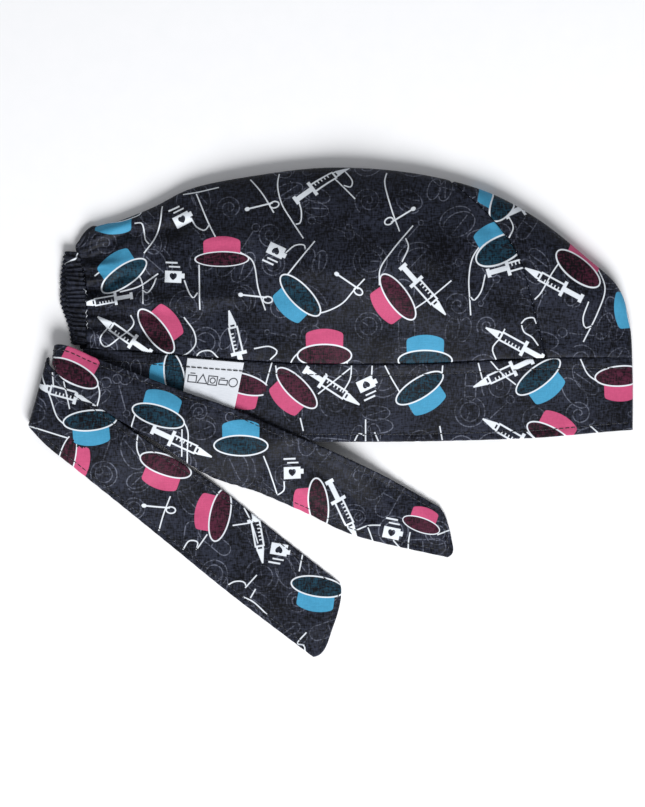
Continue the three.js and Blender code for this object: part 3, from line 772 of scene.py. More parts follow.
def folded_cloth(place, u, s, relief, shift=lambda u: 0 * u):
    """The outside of a sheet folded on the centre line, and its places on the flat cloth. place(u, q)
    is in plan, with q from 0 on the fold to 1 at the edge. On the flat cloth the right half keeps
    its plan, let out near the fold by what the rounding adds, and the left half goes on from there
    by the length of cloth."""
    u, s = u[:, None], s[None, :]
    q = np.abs(s)
    upper = s >= 0
    plan = place(u, q)
    x, y = plan[..., 0], plan[..., 1]
    distance = distance_to(fold_line, x, y)
    z = np.where(upper, upper_height(x, y, distance, relief(x, y)), lower_height(x, distance))
    face = np.stack([np.where(upper, x, x + shift(u) * smooth(q)), y, z], -1)
    out = place(u, 0 * u) - place(u, 0 * u + 1)
    out = out / np.linalg.norm(out, axis=-1, keepdims=True)
    step = np.linalg.norm(np.diff(face, axis=1), axis=2)
    plain = np.linalg.norm(np.diff(plan, axis=1), axis=2)
    near = smooth(2 - (distance[:, :-1] + distance[:, 1:]) / 12)
    right = upper[0, :-1]
    extra = np.where(right, (step - plain) * near, 0)
    let_out = np.insert(np.cumsum(extra[:, ::-1], axis=1)[:, ::-1], extra.shape[1], 0, axis=1)
    beyond = np.insert(
        np.cumsum(np.where(right, 0, step)[:, ::-1], axis=1)[:, ::-1], extra.shape[1], 0, axis=1
    )
    fold_plan = plan[:, s[0] == 0]
    start = np.where(upper[..., None], plan, fold_plan)
    flat = start + out * (let_out + beyond)[..., None]
    return face, flat


def over_fold(chart, line=fold_line, keep=22.0):
    """A chart with its left half: each figure further than that from the fold is repeated at its
    mirror place beyond the fold, in the other colour."""
    other = {"pink": "cyan", "cyan": "pink"}
    rows = list(chart)
    for row in chart:
        gap = np.hypot(line[:, 0] - row["x"], line[:, 1] - row["y"])
        if gap.min() > keep:
            x, y = 2 * line[gap.argmin()] - (row["x"], row["y"])
            figure = other.get(row["figure"], row["figure"])
            rows.append({**row, "figure": figure, "x": x, "y": y, "turn": row["turn"] + 150})
    return rows


def quads(number, facing):
    """Four-cornered faces between the rows and columns of a grid of point numbers. Facing is 1 where
    rows x columns points outwards, and -1 where it points inwards."""
    q = np.stack([number[:-1, :-1], number[1:, :-1], number[1:, 1:], number[:-1, 1:]], -1)
    return q.reshape(-1, 4)[:, ::facing]


def make_piece(name, points, faces, maps, materials, worn, replaced=()):
    """A smooth-shaded mesh object from points in millimetres, with its UV maps, which rides on the
    cap's one body."""
    mesh = bpy.data.meshes.new(name)
    mesh.from_pydata((points * MM).tolist(), [], faces.tolist())
    for map_name, corners in maps.items():
        layer = mesh.uv_layers.new(name=map_name, do_init=False)
        layer.uv.foreach_set("vector", corners.astype(np.float32).ravel())
    for material in materials:
        mesh.materials.append(material)
    mesh.polygons.foreach_set("material_index", worn.astype(np.int32))
    mesh.polygons.foreach_set("use_smooth", np.ones(len(faces), bool))
    mesh.update()
    piece = bpy.data.objects.new(name, mesh)
    bpy.context.collection.objects.link(piece)
    if replaced:
        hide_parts(*replaced)
    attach(piece, "root")
    return piece


def wall_shell(face, facing, wall):
    """A closed wall from a grid of points on its outside: its points, its faces outside and then
    inside, and for every face the grid's point numbers at its corners. The thickness is
    wall sqrt(1 - (1 - 2e / wall)^2) at a distance e under wall / 2 from the edge, so that edges are
    round like a folded hem, and outside and inside share the points of the edge."""
    normal = facing * np.cross(np.gradient(face, axis=0), np.gradient(face, axis=1))
    normal /= np.maximum(np.linalg.norm(normal, axis=2, keepdims=True), 1e-12)
    runs = []
    for axis in (0, 1):
        step = np.linalg.norm(np.diff(face, axis=axis), axis=2)
        run = np.insert(np.cumsum(step, axis=axis), 0, 0, axis=axis)
        runs += [run, run.max(axis, keepdims=True) - run]
    edge = np.minimum.reduce(runs)
    thick = wall * np.sqrt(1 - (1 - np.clip(edge / (wall / 2), 0, 1)) ** 2)[..., None]
    middle = face - normal * wall / 2
    outside = middle + normal * thick / 2
    inside = middle - normal * thick / 2
    number = np.arange(edge.size).reshape(edge.shape)
    under = number.copy()
    inner_shape = under[1:-1, 1:-1].shape
    under[1:-1, 1:-1] = edge.size + np.arange(np.prod(inner_shape)).reshape(inner_shape)
    points = np.vstack([outside.reshape(-1, 3), inside[1:-1, 1:-1].reshape(-1, 3)])
    faces = np.vstack([quads(number, facing), quads(under, -facing)])
    return points, faces, np.vstack([quads(number, facing), quads(number, -facing)])


def unit_layout(corners, count):
    """Corners on the flat cloth scaled into the unit square: the outside's faces come first, and the
    inside's, smaller, stand to their right."""
    low, high = corners.min((0, 1)), corners.max((0, 1))
    wide, tall = high - low
    fit = 0.98 / max(wide * 1.42, tall)
    layout = (corners - low) * fit + 0.01
    layout[count:] = (corners[count:] - low) * fit * 0.38 + (0.01 + wide * fit * 1.02, 0.01)
    return layout


def cloth_piece(name, face, flat, facing, chart, lines, ghosts, node, both=False):
    """A piece of the printed cloth on a grid of points, and the size and area of its flat places. Both
    sides show the print where the cloth is doubled, and else the inside is its plain back."""
    points, faces, number = wall_shell(face, facing, CLOTH_WALL)
    corners = flat.reshape(-1, 2)[number]
    count = len(faces) // 2
    printed = corners if both else corners[:count]
    blank = np.full((len(faces) - len(printed), 4, 2), NO_INK)
    figures = [row for row in chart if row["figure"] in ("pink", "cyan")]
    whites = [row for row in chart if row["figure"] not in ("pink", "cyan")]
    maps = {
        "flat_cloth": corners,
        "cap_screen": np.vstack([lay_figures(printed, figures), blank]),
        "white_screen": np.vstack([lay_figures(printed, whites), blank]),
        "white_lines": np.vstack([lay_lines(printed, lines + cap_strings(chart)), -blank]),
        "grey_lines": np.vstack([lay_lines(printed, ghosts), -blank]),
        "OFBake": unit_layout(corners, count),
    }
    worn = np.zeros(len(faces)) if both else np.repeat([0, 1], count)
    materials = (poplin_face, poplin_back)
    piece = make_piece(name, points, faces, maps, materials, worn, [node])
    a, b = corners[:count, 2] - corners[:count, 0], corners[:count, 3] - corners[:count, 1]
    area = np.abs(a[:, 0] * b[:, 1] - a[:, 1] * b[:, 0]).sum() / 2
    spread = flat.reshape(-1, 2) - flat.mean((0, 1))
    spread = spread @ np.linalg.svd(spread[::7], full_matrices=False)[2].T
    long, wide = np.ptp(spread, axis=0)
    return piece, {"flat": (wide * MM, long * MM), "area": area * MM**2}


CROWN_BACK_CHART = [
    {"figure": "pink", "x": -54, "y": 85, "turn": 0, "tall": 0.72, "strings": False},
    {"figure": "cyan", "x": -21, "y": 54, "turn": 134, "flip": -1, "strings": False},
    {"figure": "pink", "x": 26.5, "y": 54, "turn": 126, "strings": False},
    {"figure": "pink", "x": -3, "y": 39, "turn": 0, "flip": -1, "tall": 1.1},
    {"figure": "pink", "x": -80.5, "y": 47.5, "turn": -52, "flip": -1, "strings": False},
    {"figure": "cyan", "x": 80, "y": 91.5, "turn": 27, "flip": -1, "tall": 1.3, "strings": False},
    {"figure": "cyan", "x": 47, "y": 36, "turn": 0, "strings": False},
    {"figure": "cyan", "x": -108, "y": 77, "turn": 34, "strings": False},
    {"figure": "cyan", "x": -109, "y": 95.5, "turn": 178, "strings": False},
    {"figure": "syringe", "x": -5.3, "y": 116, "turn": 36},
    {"figure": "syringe", "x": 45.5, "y": 63, "turn": -48},
    {"figure": "syringe", "x": 92.5, "y": 75, "turn": 16},
    {"figure": "syringe", "x": -102.6, "y": 39.9, "turn": 145},
    {"figure": "syringe", "x": -46.6, "y": 35.7, "turn": 103},
    {"figure": "syringe", "x": -111, "y": 58, "turn": 190, "scale": 0.8},
    {"figure": "syringe", "x": 92.2, "y": 35.8, "turn": 152},
    {"figure": "card", "x": -74, "y": 98, "turn": 27},
    {"figure": "card", "x": -78.4, "y": 69.4, "turn": -3},
    {"figure": "card", "x": -27, "y": 82, "turn": 155, "flip": -1},
    {"figure": "swab", "x": -35, "y": 104.5, "turn": 14},
    {"figure": "swab", "x": -38, "y": 59.5, "turn": -6},
    {"figure": "swab", "x": 8.5, "y": 66.5, "turn": -34},
    {"figure": "swab", "x": 35.5, "y": 99.5, "turn": 212},
]
CROWN_BACK_LINES = [
    [(-26, 122.2), (-26.4, 114.8), (-24.3, 105.7), (-19.4, 97.3), (-13.5, 88.1)],
    [(-40.5, 119.4), (-33.4, 109.9), (-28.2, 101.1)],
    [(27.6, 122.5), (26.9, 116.9), (30, 103.6), (34.2, 91.6)],
    [(1.6, 119), (12.2, 107.8)],
    [(6.5, 123.9), (10.8, 116.9), (10, 114), (6.5, 114.8)],
    [(-15.9, 107), (-14.5, 101.5), (-15.2, 95.9), (-17.3, 95.2)],
    [(-67.2, 111.5), (-61.2, 97), (-57, 88.6)],
    [(-69.6, 98.8), (-66.8, 94.3), (-62.6, 92.5), (-60.5, 95)],
    [(-84.3, 105.8), (-85, 97), (-87.8, 88.7), (-93.1, 81.3)],
    [(-98, 96.5), (-94.5, 96.5), (-92.4, 88), (-90.6, 85.9)],
    [(-74, 111.5), (-66, 112.5), (-56, 115)],
    [(-65.4, 75.3), (-65.2, 64), (-65, 52.9)],
    [(-72.8, 67.6), (-70.3, 61.3), (-68.2, 58.8), (-66.1, 61.3)],
    [(-45.3, 81.5), (-38.8, 77), (-35.8, 63), (-32.3, 52.5)],
    [(-96.6, 71.5), (-94.2, 66.9), (-93.5, 56)],
    [(-105.4, 62), (-95.6, 64.8), (-86.1, 71.1)],
    [(-94, 63), (-91.5, 61.5), (-88.6, 65), (-87, 69)],
    [(-22.2, 68.9), (-7.8, 86.7)],
    [(-22.2, 80.8), (-17.3, 84.6), (-13.1, 84.6), (-12.4, 82.5)],
    [(-11, 50.3), (-2.6, 51.7), (5.9, 55.9), (11.5, 62.2), (16.8, 67.8)],
    [(24.1, 64.7), (24.5, 72.7), (30.4, 81.8), (40.9, 94.5)],
    [(37.1, 88.1), (38.5, 83.9), (35.3, 76.2)],
    [(41.6, 53.1), (50, 59), (59.8, 67.1)],
    [(75.8, 86.7), (70.4, 78.4), (68.6, 68.2), (69, 57.8), (69.5, 50)],
    [(76.8, 70.2), (74.4, 61.3), (71, 57.5), (69.3, 59.2)],
    [(-100, 50.4), (-98.3, 46.3), (-105.3, 39.3), (-112.8, 34.7), (-115.2, 38.2), (-109.9, 46.3)],
    [(-73, 49.2), (-67.9, 41.7), (-67.3, 35.8), (-71.4, 31.2), (-77, 29.2)],
    [(94.8, 46), (96.9, 48.3), (101, 48.8), (102.3, 46)],
    [(94.8, 46), (96.2, 41.9), (100.3, 39.2), (103.4, 35.1)],
    [(86.6, 43.3), (84.6, 39.2), (80.5, 33.7), (82.5, 27.6)],
    [(-68, 27), (-65.5, 31.5), (-60, 32.5), (-56, 29)],
    [(-38, 33.5), (-30, 34.5), (-26.5, 32), (-30, 28)],
    [(-118, 70), (-113.5, 73), (-109.5, 72)],
]


def crown_back_place(u, q):
    """From the fold to the band: straight, but bowed like the temple seam towards it, and drawn in
    at the nape's corner."""
    top = along(fold_line, u * TEMPLE_TOP)
    x = NAPE_X + (TEMPLE_SEAM[-1][0] - NAPE_X) * u
    bottom = np.stack([x, band_edge(x, "seam") + SEAM_GAP / 2], -1)
    q1 = q[..., None]
    chord = np.array(TEMPLE_SEAM[0]) * (1 - q1) + np.array(TEMPLE_SEAM[-1]) * q1
    bow = along(seam_line, q) - chord
    plan = top * (1 - q1) + bottom * q1 + bow * (u**2)[..., None]
    corner = fold_line[0, 0]
    drawn_in = (NAPE_X - corner) * (smooth(q / NAPE_CORNER) - q)
    plan[..., 0] += (1 - u) ** 4 * drawn_in - u * SEAM_GAP / 2 - TUCK * (1 - u) ** 24
    return plan


crown_face, crown_flat = folded_cloth(
    crown_back_place,
    spaced(length=232, pitch=1.25),
    spaced_over_fold(length=97, upper=92, lower=44),
    crown_relief,
    lambda u: LOWER_NAPE_SHIFT * smooth(1 - 6 * u),
)
crown_back, cut = cloth_piece(
    "crown_back_cloth",
    crown_face,
    crown_flat,
    -1,
    over_fold(CROWN_BACK_CHART),
    [curve_through(points, 60) for points in CROWN_BACK_LINES],
    ghost_lines(low=(-130, 24), high=(112, 222), seed=11),
    "crown_back",
)


# ---- the crown's front piece --------------------------------------------------------------------
# The smaller piece over the forehead, folded on the same centre line and sewn to the back piece at
# the temple seam. It comes to a point where that seam meets the fold.
CROWN_FRONT_CHART = [
    {"figure": "cyan", "x": 146, "y": 53, "turn": 94, "strings": False},
    {"figure": "pink", "x": 129.4, "y": 81, "turn": -38, "tall": 1.2, "strings": False},
    {"figure": "cyan", "x": 80, "y": 113.8, "turn": 58, "tall": 1.2, "strings": False},
    {"figure": "syringe", "x": 111.8, "y": 65.5, "turn": 152},
    {"figure": "syringe", "x": 101, "y": 106.5, "turn": 25},
]
CROWN_FRONT_LINES = [
    [(89, 99.5), (91, 94), (88.8, 88.7)],
    [(84.1, 104.5), (89.6, 106.5)],
    [(114.6, 77.5), (109.9, 70.6), (104.4, 61), (101.5, 58)],
    [(134.8, 74), (137.2, 63.8), (133.2, 51.5), (126, 37)],
    [(128.6, 57), (125.8, 48.5), (127, 44), (130, 44.8)],
]
FRONT_TIP = 0.015           # share of the temple seam that the point lacks: it is turned in

FOREHEAD_AT = np.hypot(*(fold_line - FOREHEAD_CORNER).T).argmin() / (len(fold_line) - 1)


def crown_front_place(u, q):
    """From the fold to the temple seam, at equal shares of their lengths, with the lower edge brought
    onto the band's seam."""
    t = FRONT_TIP + (1 - FRONT_TIP) * u
    q1 = q[..., None]
    top = along(fold_line, TEMPLE_TOP + (FOREHEAD_AT - TEMPLE_TOP) * t)
    plan = top * (1 - q1) + along(seam_line, t) * q1
    plan[..., 0] += q * (1 - u / 2) * SEAM_GAP / 2
    lowest = FOREHEAD_CORNER[0] + (TEMPLE_SEAM[-1][0] - FOREHEAD_CORNER[0]) * q
    edge = FOREHEAD_CORNER[1] + (TEMPLE_SEAM[-1][1] - FOREHEAD_CORNER[1]) * q
    plan[..., 1] += u**4 * (band_edge(lowest, "seam") + SEAM_GAP / 2 - edge)
    return plan


front_face, front_flat = folded_cloth(
    crown_front_place,
    spaced(length=105, pitch=1.2),
    spaced_over_fold(length=44, upper=46, lower=30),
    crown_relief,
)
crown_front, cut = cloth_piece(
    "crown_front_cloth",
    front_face,
    front_flat,
    -1,
    over_fold(CROWN_FRONT_CHART, keep=16.0),
    [curve_through(points, 40) for points in CROWN_FRONT_LINES],
    ghost_lines(low=(60, 24), high=(200, 150), seed=12),
    "crown_front",
)


# ---- the band -----------------------------------------------------------------------------------
# A doubled strip all round the opening, folded at the forehead like the crown. It is topstitched
# below its seam and above its hem, and each row of stitches draws the cloth down in a shallow groove.
BAND_WIDE = 40.0
SEAM_STITCH, HEM_STITCH = 5.5, 3.8      # of the rows of stitches from the band's edges
BAND_GROOVE = {"depth": 0.28, "width": 0.7}
BAND_CHART = [
    {"figure": "pink", "x": -22.8, "y": 8, "turn": 135, "flip": -1, "strings": False},
    {"figure": "pink", "x": 146, "y": 11.6, "turn": 184, "strings": False},
    {"figure": "pink", "x": 114.2, "y": -3.5, "turn": -30, "strings": False},
    {"figure": "cyan", "x": 48.8, "y": 6.8, "turn": 212, "strings": False},
    {"figure": "cyan", "x": 108.7, "y": 13, "turn": -142, "strings": False},
    {"figure": "pink", "x": -46, "y": 8, "turn": 165},
    {"figure": "cyan", "x": -86, "y": 17, "turn": 100},
    {"figure": "syringe", "x": 86.8, "y": 21.7, "turn": 205},
    {"figure": "syringe", "x": 90.8, "y": -10, "turn": 150},
    {"figure": "syringe", "x": 0, "y": 15, "turn": -33},
    {"figure": "card", "x": 17.6, "y": 15.8, "turn": 205, "flip": -1},
]
BAND_LINES = [
    [(-27.3, 25.1), (-26.6, 20)],
    [(10.4, 25.1), (9.8, 18.7), (6, 11.7)],
    [(-6.2, 11), (9.8, 23.8)],
    [(27, 25.1), (30.2, 19), (34.4, 12)],
    [(55.8, 25.1), (55.2, 17.6)],
    [(17.5, -1.7), (17.5, -12.6)],
    [(12, -12.4), (14.3, -8.8), (17.5, -10)],
    [(-15.1, -1), (-13.6, -7.4)],
    [(22, -8.1), (23.9, -12.6)],
    [(54.5, -5), (55.8, -12)],
    [(20.7, 25), (20.4, 19.5)],
    [(73.5, 26.4), (75.6, 18.5)],
    [(79.7, 27.3), (85, 21.5), (92.4, 15.6)],
    [(124.6, 28.4), (128.7, 20.5), (136.4, 15.6)],
    [(113, 28.7), (111.7, 22.6)],
    [(98, -8), (101.8, -11.2)],
    [(129.3, -4.6), (134.1, -8.9)],
]


def band_place(u, q):
    """From the hem to the seam, and along the cap from the fold to the band's end."""
    rough = FOREHEAD_CORNER[0] + (BAND_END_X - FOREHEAD_CORNER[0]) * q
    hem, seam = band_edge(rough, "hem"), band_edge(rough, "seam") - SEAM_GAP / 2
    fold_x = along(fold_line, 1 + (FOREHEAD_AT - 1) * u)[..., 0]
    return np.stack([fold_x + (BAND_END_X - fold_x) * q, hem + (seam - hem) * u], -1)


def band_relief(x, y):
    """A roll at the seam, a groove under each row of stitches, puckers between the rows and the
    edges, and the cloth's own rumple, less where the ties press it down."""
    below, above = band_edge(x, "seam") - y, y - band_edge(x, "hem")
    relief = -SEAM_ROLL["depth"] * np.exp(-((below / SEAM_ROLL["width"]) ** 2))
    for off in (below - SEAM_STITCH, above - HEM_STITCH):
        relief = relief - BAND_GROOVE["depth"] * np.exp(-((off / BAND_GROOVE["width"]) ** 2))
    sway = 2.2 * soft_noise(x, y, 15.0, 14)
    for off, pitch in ((below, 8.0), (above, 6.5)):
        relief = relief + 0.22 * np.cos(2 * np.pi * (x + sway) / pitch) * np.exp(-((off - 2) / 3) ** 2)
    free = smooth((x + 60) / 40)
    relief = relief * (0.4 + 0.6 * free)
    return relief + free * (0.4 * soft_noise(x, y, 22.0, 15) + 0.12 * soft_noise(x, y, 8.0, 16))


band_face, band_flat = folded_cloth(
    band_place,
    spaced(BAND_WIDE, pitch=1.1, marks=[HEM_STITCH, BAND_WIDE - SEAM_STITCH]),
    spaced_over_fold(length=275, upper=210, lower=120, power=1.15),
    band_relief,
)
band, cut = cloth_piece(
    "band_cloth",
    band_face,
    band_flat,
    1,
    over_fold(BAND_CHART, fold_line[375:]),
    [curve_through(points, 40) for points in BAND_LINES],
    ghost_lines(low=(-124, -14), high=(430, 36), seed=13),
    "band",
    both=True,
)


# ---- the casing at the nape ---------------------------------------------------------------------
# A channel of the same cloth round an elastic, from one end of the band over the folded nape to the
# other. The elastic draws it up to three quarters of its length, so it stands in close pleats across.
CASING_PATH = [
    {"x": -125.4, "y": 35.6, "z": 5.25, "swell": 0.8}, {"x": -125.6, "y": 46, "z": 5.25, "swell": 0.8},
    {"x": -127.2, "y": 58, "z": 5.25, "swell": 1}, {"x": -128.0, "y": 70, "z": 5.25, "swell": 1.05},
    {"x": -129.2, "y": 78.8, "z": 5.1, "swell": 0.9}, {"x": -129.6, "y": 81.5, "z": 3.5, "swell": 0.85},
    {"x": -130.0, "y": 78.8, "z": 1.9, "swell": 0.9}, {"x": -130.6, "y": 70, "z": 1.75, "swell": 1},
    {"x": -130.4, "y": 58, "z": 1.75, "swell": 1}, {"x": -128.0, "y": 48, "z": 1.75, "swell": 0.8},
    {"x": -127.0, "y": 35.6, "z": 1.75, "swell": 0.7},
]
CASING_WIDE, CASING_THICK = 10.5, 3.1
CHANNEL = 0.76              # size of the channel inside, against the outside
GATHER = 1.35               # length of the flat cloth, against the length it is drawn up to
PLEAT = {"pitch": 2.35, "depth": 0.8, "side_depth": 0.2}
CASING_SIDES = 40
CASING_END = 1.4            # reach of the rounding at either end
CASING_LIP = 0.4            # of the channel's wall at either end
CASING_CHART = [{"figure": "pink", "x": 43, "y": 13.6, "turn": 180, "scale": 0.4}]
CASING_LINES = [            # scraps of the print on the cloth, drawn up in the pleats
    [(50, 13), (55, 10), (58, 5), (64, 3)], [(60, 12), (65, 9), (69, 13)], [(8, 1), (16, 2), (24, 1)],
    [(28, 2), (33, 1), (38, 3)], [(88, 4), (96, 9), (104, 5)], [(112, 12), (118, 5), (128, 9)],
]

# The outside is a squarish oval carried along the path: at an angle a it reaches, sideways and
# outwards, half its width and half its thickness times the signed 0.6th powers of cos a and sin a.
# The pleats, a cosine along the path, draw it in, and both ends taper in a quarter round.
path = curve_through([(r["x"], r["y"], r["z"]) for r in CASING_PATH], 440)
share = np.linspace(0, 1, len(path))
swell = between_rows([r["swell"] for r in CASING_PATH], share * (len(CASING_PATH) - 1))
ahead = np.gradient(path, axis=0)
ahead[:, 0] = 0
ahead /= np.linalg.norm(ahead, axis=1, keepdims=True)
sideways = np.array([1.0, 0, 0])
lift = np.cross(sideways, ahead)
length = np.linalg.norm(np.diff(path, axis=0), axis=1).sum()
a = np.linspace(0, 2 * np.pi, CASING_SIDES, endpoint=False)
run = share[:, None] * length
wander = 1.1 * soft_noise(run, 4 * np.cos(a)[None, :], 6.0, 18)
pleats = 0.5 + 0.5 * np.cos(2 * np.pi * (run + wander) / PLEAT["pitch"])
pleats = pleats * (0.8 + 0.2 * soft_noise(run, 5 * np.cos(a)[None, :], 5.0, 19))
taper = np.sqrt(1 - (1 - np.clip(np.minimum(run, length - run) / CASING_END, 0.02, 1)) ** 2)
wide = np.sign(np.cos(a)) * np.abs(np.cos(a)) ** 0.6 * CASING_WIDE / 2 * swell[:, None]
thick = np.sign(np.sin(a)) * np.abs(np.sin(a)) ** 0.6 * CASING_THICK / 2
lumps = 0.5 * soft_noise(run, 5 * np.cos(a)[None, :], 7.0, 23)
aside = wide * (1 - PLEAT["side_depth"] * pleats) + lumps * np.sign(np.cos(a))
above = thick * (1 - PLEAT["depth"] * pleats)
reach = sideways * (aside * taper)[..., None] + lift[:, None] * (above * taper)[..., None]
# The wall is one closed surface: along the outside, and back along the channel.
wall = np.vstack([path[:, None] + reach, (path[:, None] + reach * CHANNEL)[::-1]])
number = np.pad(np.arange(wall[..., 0].size).reshape(wall.shape[:2]), (0, 1), mode="wrap")
section = np.stack(np.broadcast_arrays(wide, thick), -1)
girth = np.linalg.norm(section - np.roll(section, 1, axis=1), axis=2).sum(1).mean()
back = 2 * length + CASING_LIP
cloth_run = np.concatenate([run[:, 0], back - run[::-1, 0], [back + CASING_LIP]])
flat = np.stack(
    np.meshgrid(cloth_run * GATHER, np.linspace(0, girth, CASING_SIDES + 1), indexing="ij"), -1
)
sheet_number = np.arange(flat[..., 0].size).reshape(flat.shape[:2])
corners = flat.reshape(-1, 2)[quads(sheet_number, -1)]
casing = make_piece(
    "casing_cloth",
    wall.reshape(-1, 3),
    quads(number, -1),
    {
        "flat_cloth": corners,
        "cap_screen": lay_figures(corners, CASING_CHART),
        "white_screen": np.full(corners.shape, NO_INK),
        "white_lines": lay_lines(corners, [curve_through(points, 40) for points in CASING_LINES]),
        "grey_lines": np.full(corners.shape, -NO_INK),
        "OFBake": corners / corners.max() * 0.98 + 0.01,
    },
    (poplin_face,),
    np.zeros(len(corners)),
    ["back_casing"],
)


# ---- the ties -----------------------------------------------------------------------------------
# Two long doubled strips go on from the band's ends. Each is turned back on itself behind the nape
# and laid over the right half: the right tie on top, rolled under along its lower edge near the
# nape, and the left tie below it, running out over the hem onto the table. Both are topstitched
# all round.
TIE_STITCH = 2.8            # of the row of stitches from the edge
TIE_GROOVE = {"depth": 0.22, "width": 0.7}
RIGHT_TIE = [
    # upper edge x, y, z; lower edge x, y, z; arch of the middle; radius of the roll; cloth tucked
    (-124.6, 31, 4.6, -124.6, 9, 4.6, 0, 0, 0),
    (-130.5, 32.8, 4.6, -131.5, 19, 4.2, 0, 0, 0),
    (-135.2, 34.8, 5.2, -136.2, 25.6, 5.2, 0, 0, 0),
    (-137.6, 35.4, 7.8, -138.6, 27.4, 7.8, 0, 0, 0),
    (-134.6, 35.8, 10.8, -138, 25.6, 10.8, 0, 0.3, 0.5),
    (-128, 34, 11.4, -134, 20.6, 11.6, 0.4, 0.9, 3),
    (-115.5, 28.3, 11.4, -124.4, 13, 12.2, 0.6, 1.2, 9),
    (-94, 20.2, 12.4, -106.5, 0.6, 12.4, 0.6, 1.3, 9),
    (-73.8, 12.5, 14, -86.5, -11, 12.8, 0.6, 1.2, 5),
    (-48, 3.5, 14, -62, -28.5, 7.6, 2.2, 0.4, 1),
    (-25, -6.5, 12.9, -39, -37, 3.2, 3, 0, 0),
    (0, -17.2, 10.6, -13, -48.3, 1.4, 1.4, 0, 0),
    (28.8, -31, 3.4, 14, -60.6, 0.9, 0.4, 0, 0),
    (57.6, -47.4, 1.2, 63.2, -72, 0.8, 0, 0, 0),
]
LEFT_TIE = [
    (-125.2, 31, 0.8, -125.2, -6.6, 0.8, 0, 0, 0),
    (-132, 27.6, 0.8, -137, -6, 0.8, 0, 0, 0),
    (-140.2, 22.6, 1, -149, -5.2, 1, 0, 0, 0),
    (-141.2, 29.4, 4.1, -151, -5, 4, 0, 0, 0),
    (-140.6, 25.6, 7.2, -149, -7.6, 7, 0, 0, 0),
    (-130, 15, 8, -141.6, -15.4, 5.6, 0.8, 0, 0),
    (-117, 6, 8.5, -130.6, -24.2, 4, 1.4, 0, 0),
    (-98, -8, 8.6, -116, -36, 1.8, 1.6, 0, 0),
    (-76, -22.6, 4.2, -98, -50.6, 1.1, 0.6, 0, 0),
    (-55, -36.6, 1.4, -78.6, -66.4, 0.85, 0.1, 0, 0),
    (-25, -60.6, 0.8, -48.8, -90.6, 0.8, 0, 0, 0),
    (7.8, -86.4, 0.8, -4.6, -124.2, 0.8, 0, 0, 0),
]
TURN_BACK = 4               # the row where a tie has turned back
TABLE_CLEAR = 0.02          # under a tie that lies on the table
END_BOW = 0.14              # rows that the corners of a tie's end are drawn back by
TIE_SEEDS = {"right": 21, "left": 31}
TIE_FOLDS = {               # soft ridges, and valleys where the height is negative, along the ties
    "right": [
        {"line": [(-112, 22), (-92, 12), (-70, 0)], "height": 0.8, "width": 4.0},
        {"line": [(-60, -4), (-36, -16), (-14, -30)], "height": -0.9, "width": 4.5},
        {"line": [(-20, -18), (2, -33), (20, -49)], "height": -2.3, "width": 5.0},
        {"line": [(-30, -30), (-12, -40), (6, -52)], "height": 0.9, "width": 3.5},
        {"line": [(30, -36), (36, -48), (40, -60)], "height": -1.4, "width": 3.5},
        {"line": [(44, -46), (52, -58), (58, -66)], "height": 1.0, "width": 4.0},
    ],
    "left": [
        {"line": [(-130, 0), (-112, -12), (-92, -28)], "height": 0.7, "width": 5.0},
        {"line": [(-84, -34), (-60, -56), (-40, -74)], "height": -0.7, "width": 5.0},
        {"line": [(-36, -66), (-20, -84), (-8, -104)], "height": 0.7, "width": 5.0},
    ],
}
RIGHT_TIE_CHART = [
    {"figure": "pink", "x": -124, "y": 28.8, "turn": -28},
    {"figure": "cyan", "x": -83.3, "y": 8.2, "turn": -17},
    {"figure": "cyan", "x": -44.8, "y": -6, "turn": 0, "flip": -1, "strings": False},
    {"figure": "pink", "x": -14.7, "y": -45.5, "turn": 95, "strings": False},
    {"figure": "pink", "x": 47.5, "y": -49.0, "turn": -19, "scale": 0.72, "strings": False},
    {"figure": "syringe", "x": 5.8, "y": -46.5, "turn": -64},
    {"figure": "syringe", "x": -75, "y": -13, "turn": -25},
    {"figure": "card", "x": -19.3, "y": -28.5, "turn": 0},
    {"figure": "card", "x": 30.6, "y": -58.8, "turn": -12},
]
LEFT_TIE_CHART = [
    {"figure": "cyan", "x": -119.4, "y": -10.5, "turn": -175},
    {"figure": "pink", "x": -125.2, "y": -24.4, "turn": -106, "tall": 0.8},
    {"figure": "pink", "x": -85.5, "y": -32.4, "turn": 160},
    {"figure": "pink", "x": -63.7, "y": -48, "turn": 78, "strings": False},
    {"figure": "cyan", "x": -7.7, "y": -94, "turn": 171, "strings": False},
    {"figure": "syringe", "x": -131.7, "y": 11, "turn": 165},
    {"figure": "syringe", "x": -37, "y": -57, "turn": -80},
    {"figure": "card", "x": -25.8, "y": -67, "turn": 170, "flip": -1},
    {"figure": "swab", "x": -87, "y": -45.5, "turn": -5},
]
RIGHT_TIE_LINES = [
    [(-74, -6.4), (-74.3, -20.1)],
    [(-33.6, -19.6), (-29.8, -29.8), (-27.2, -40)],
    [(-23.4, -32.4), (-23.7, -37.5), (-27, -40.6)],
    [(13, -57.3), (18.8, -55.1), (25.1, -54.8)],
    [(18.8, -56), (20, -59.2), (21.3, -63)],
    [(40, -58.4), (39.2, -63), (39, -69)],
    [(31.5, -62.4), (36.6, -68.2)],
    [(53.6, -59.6), (61.6, -56.7)],
]
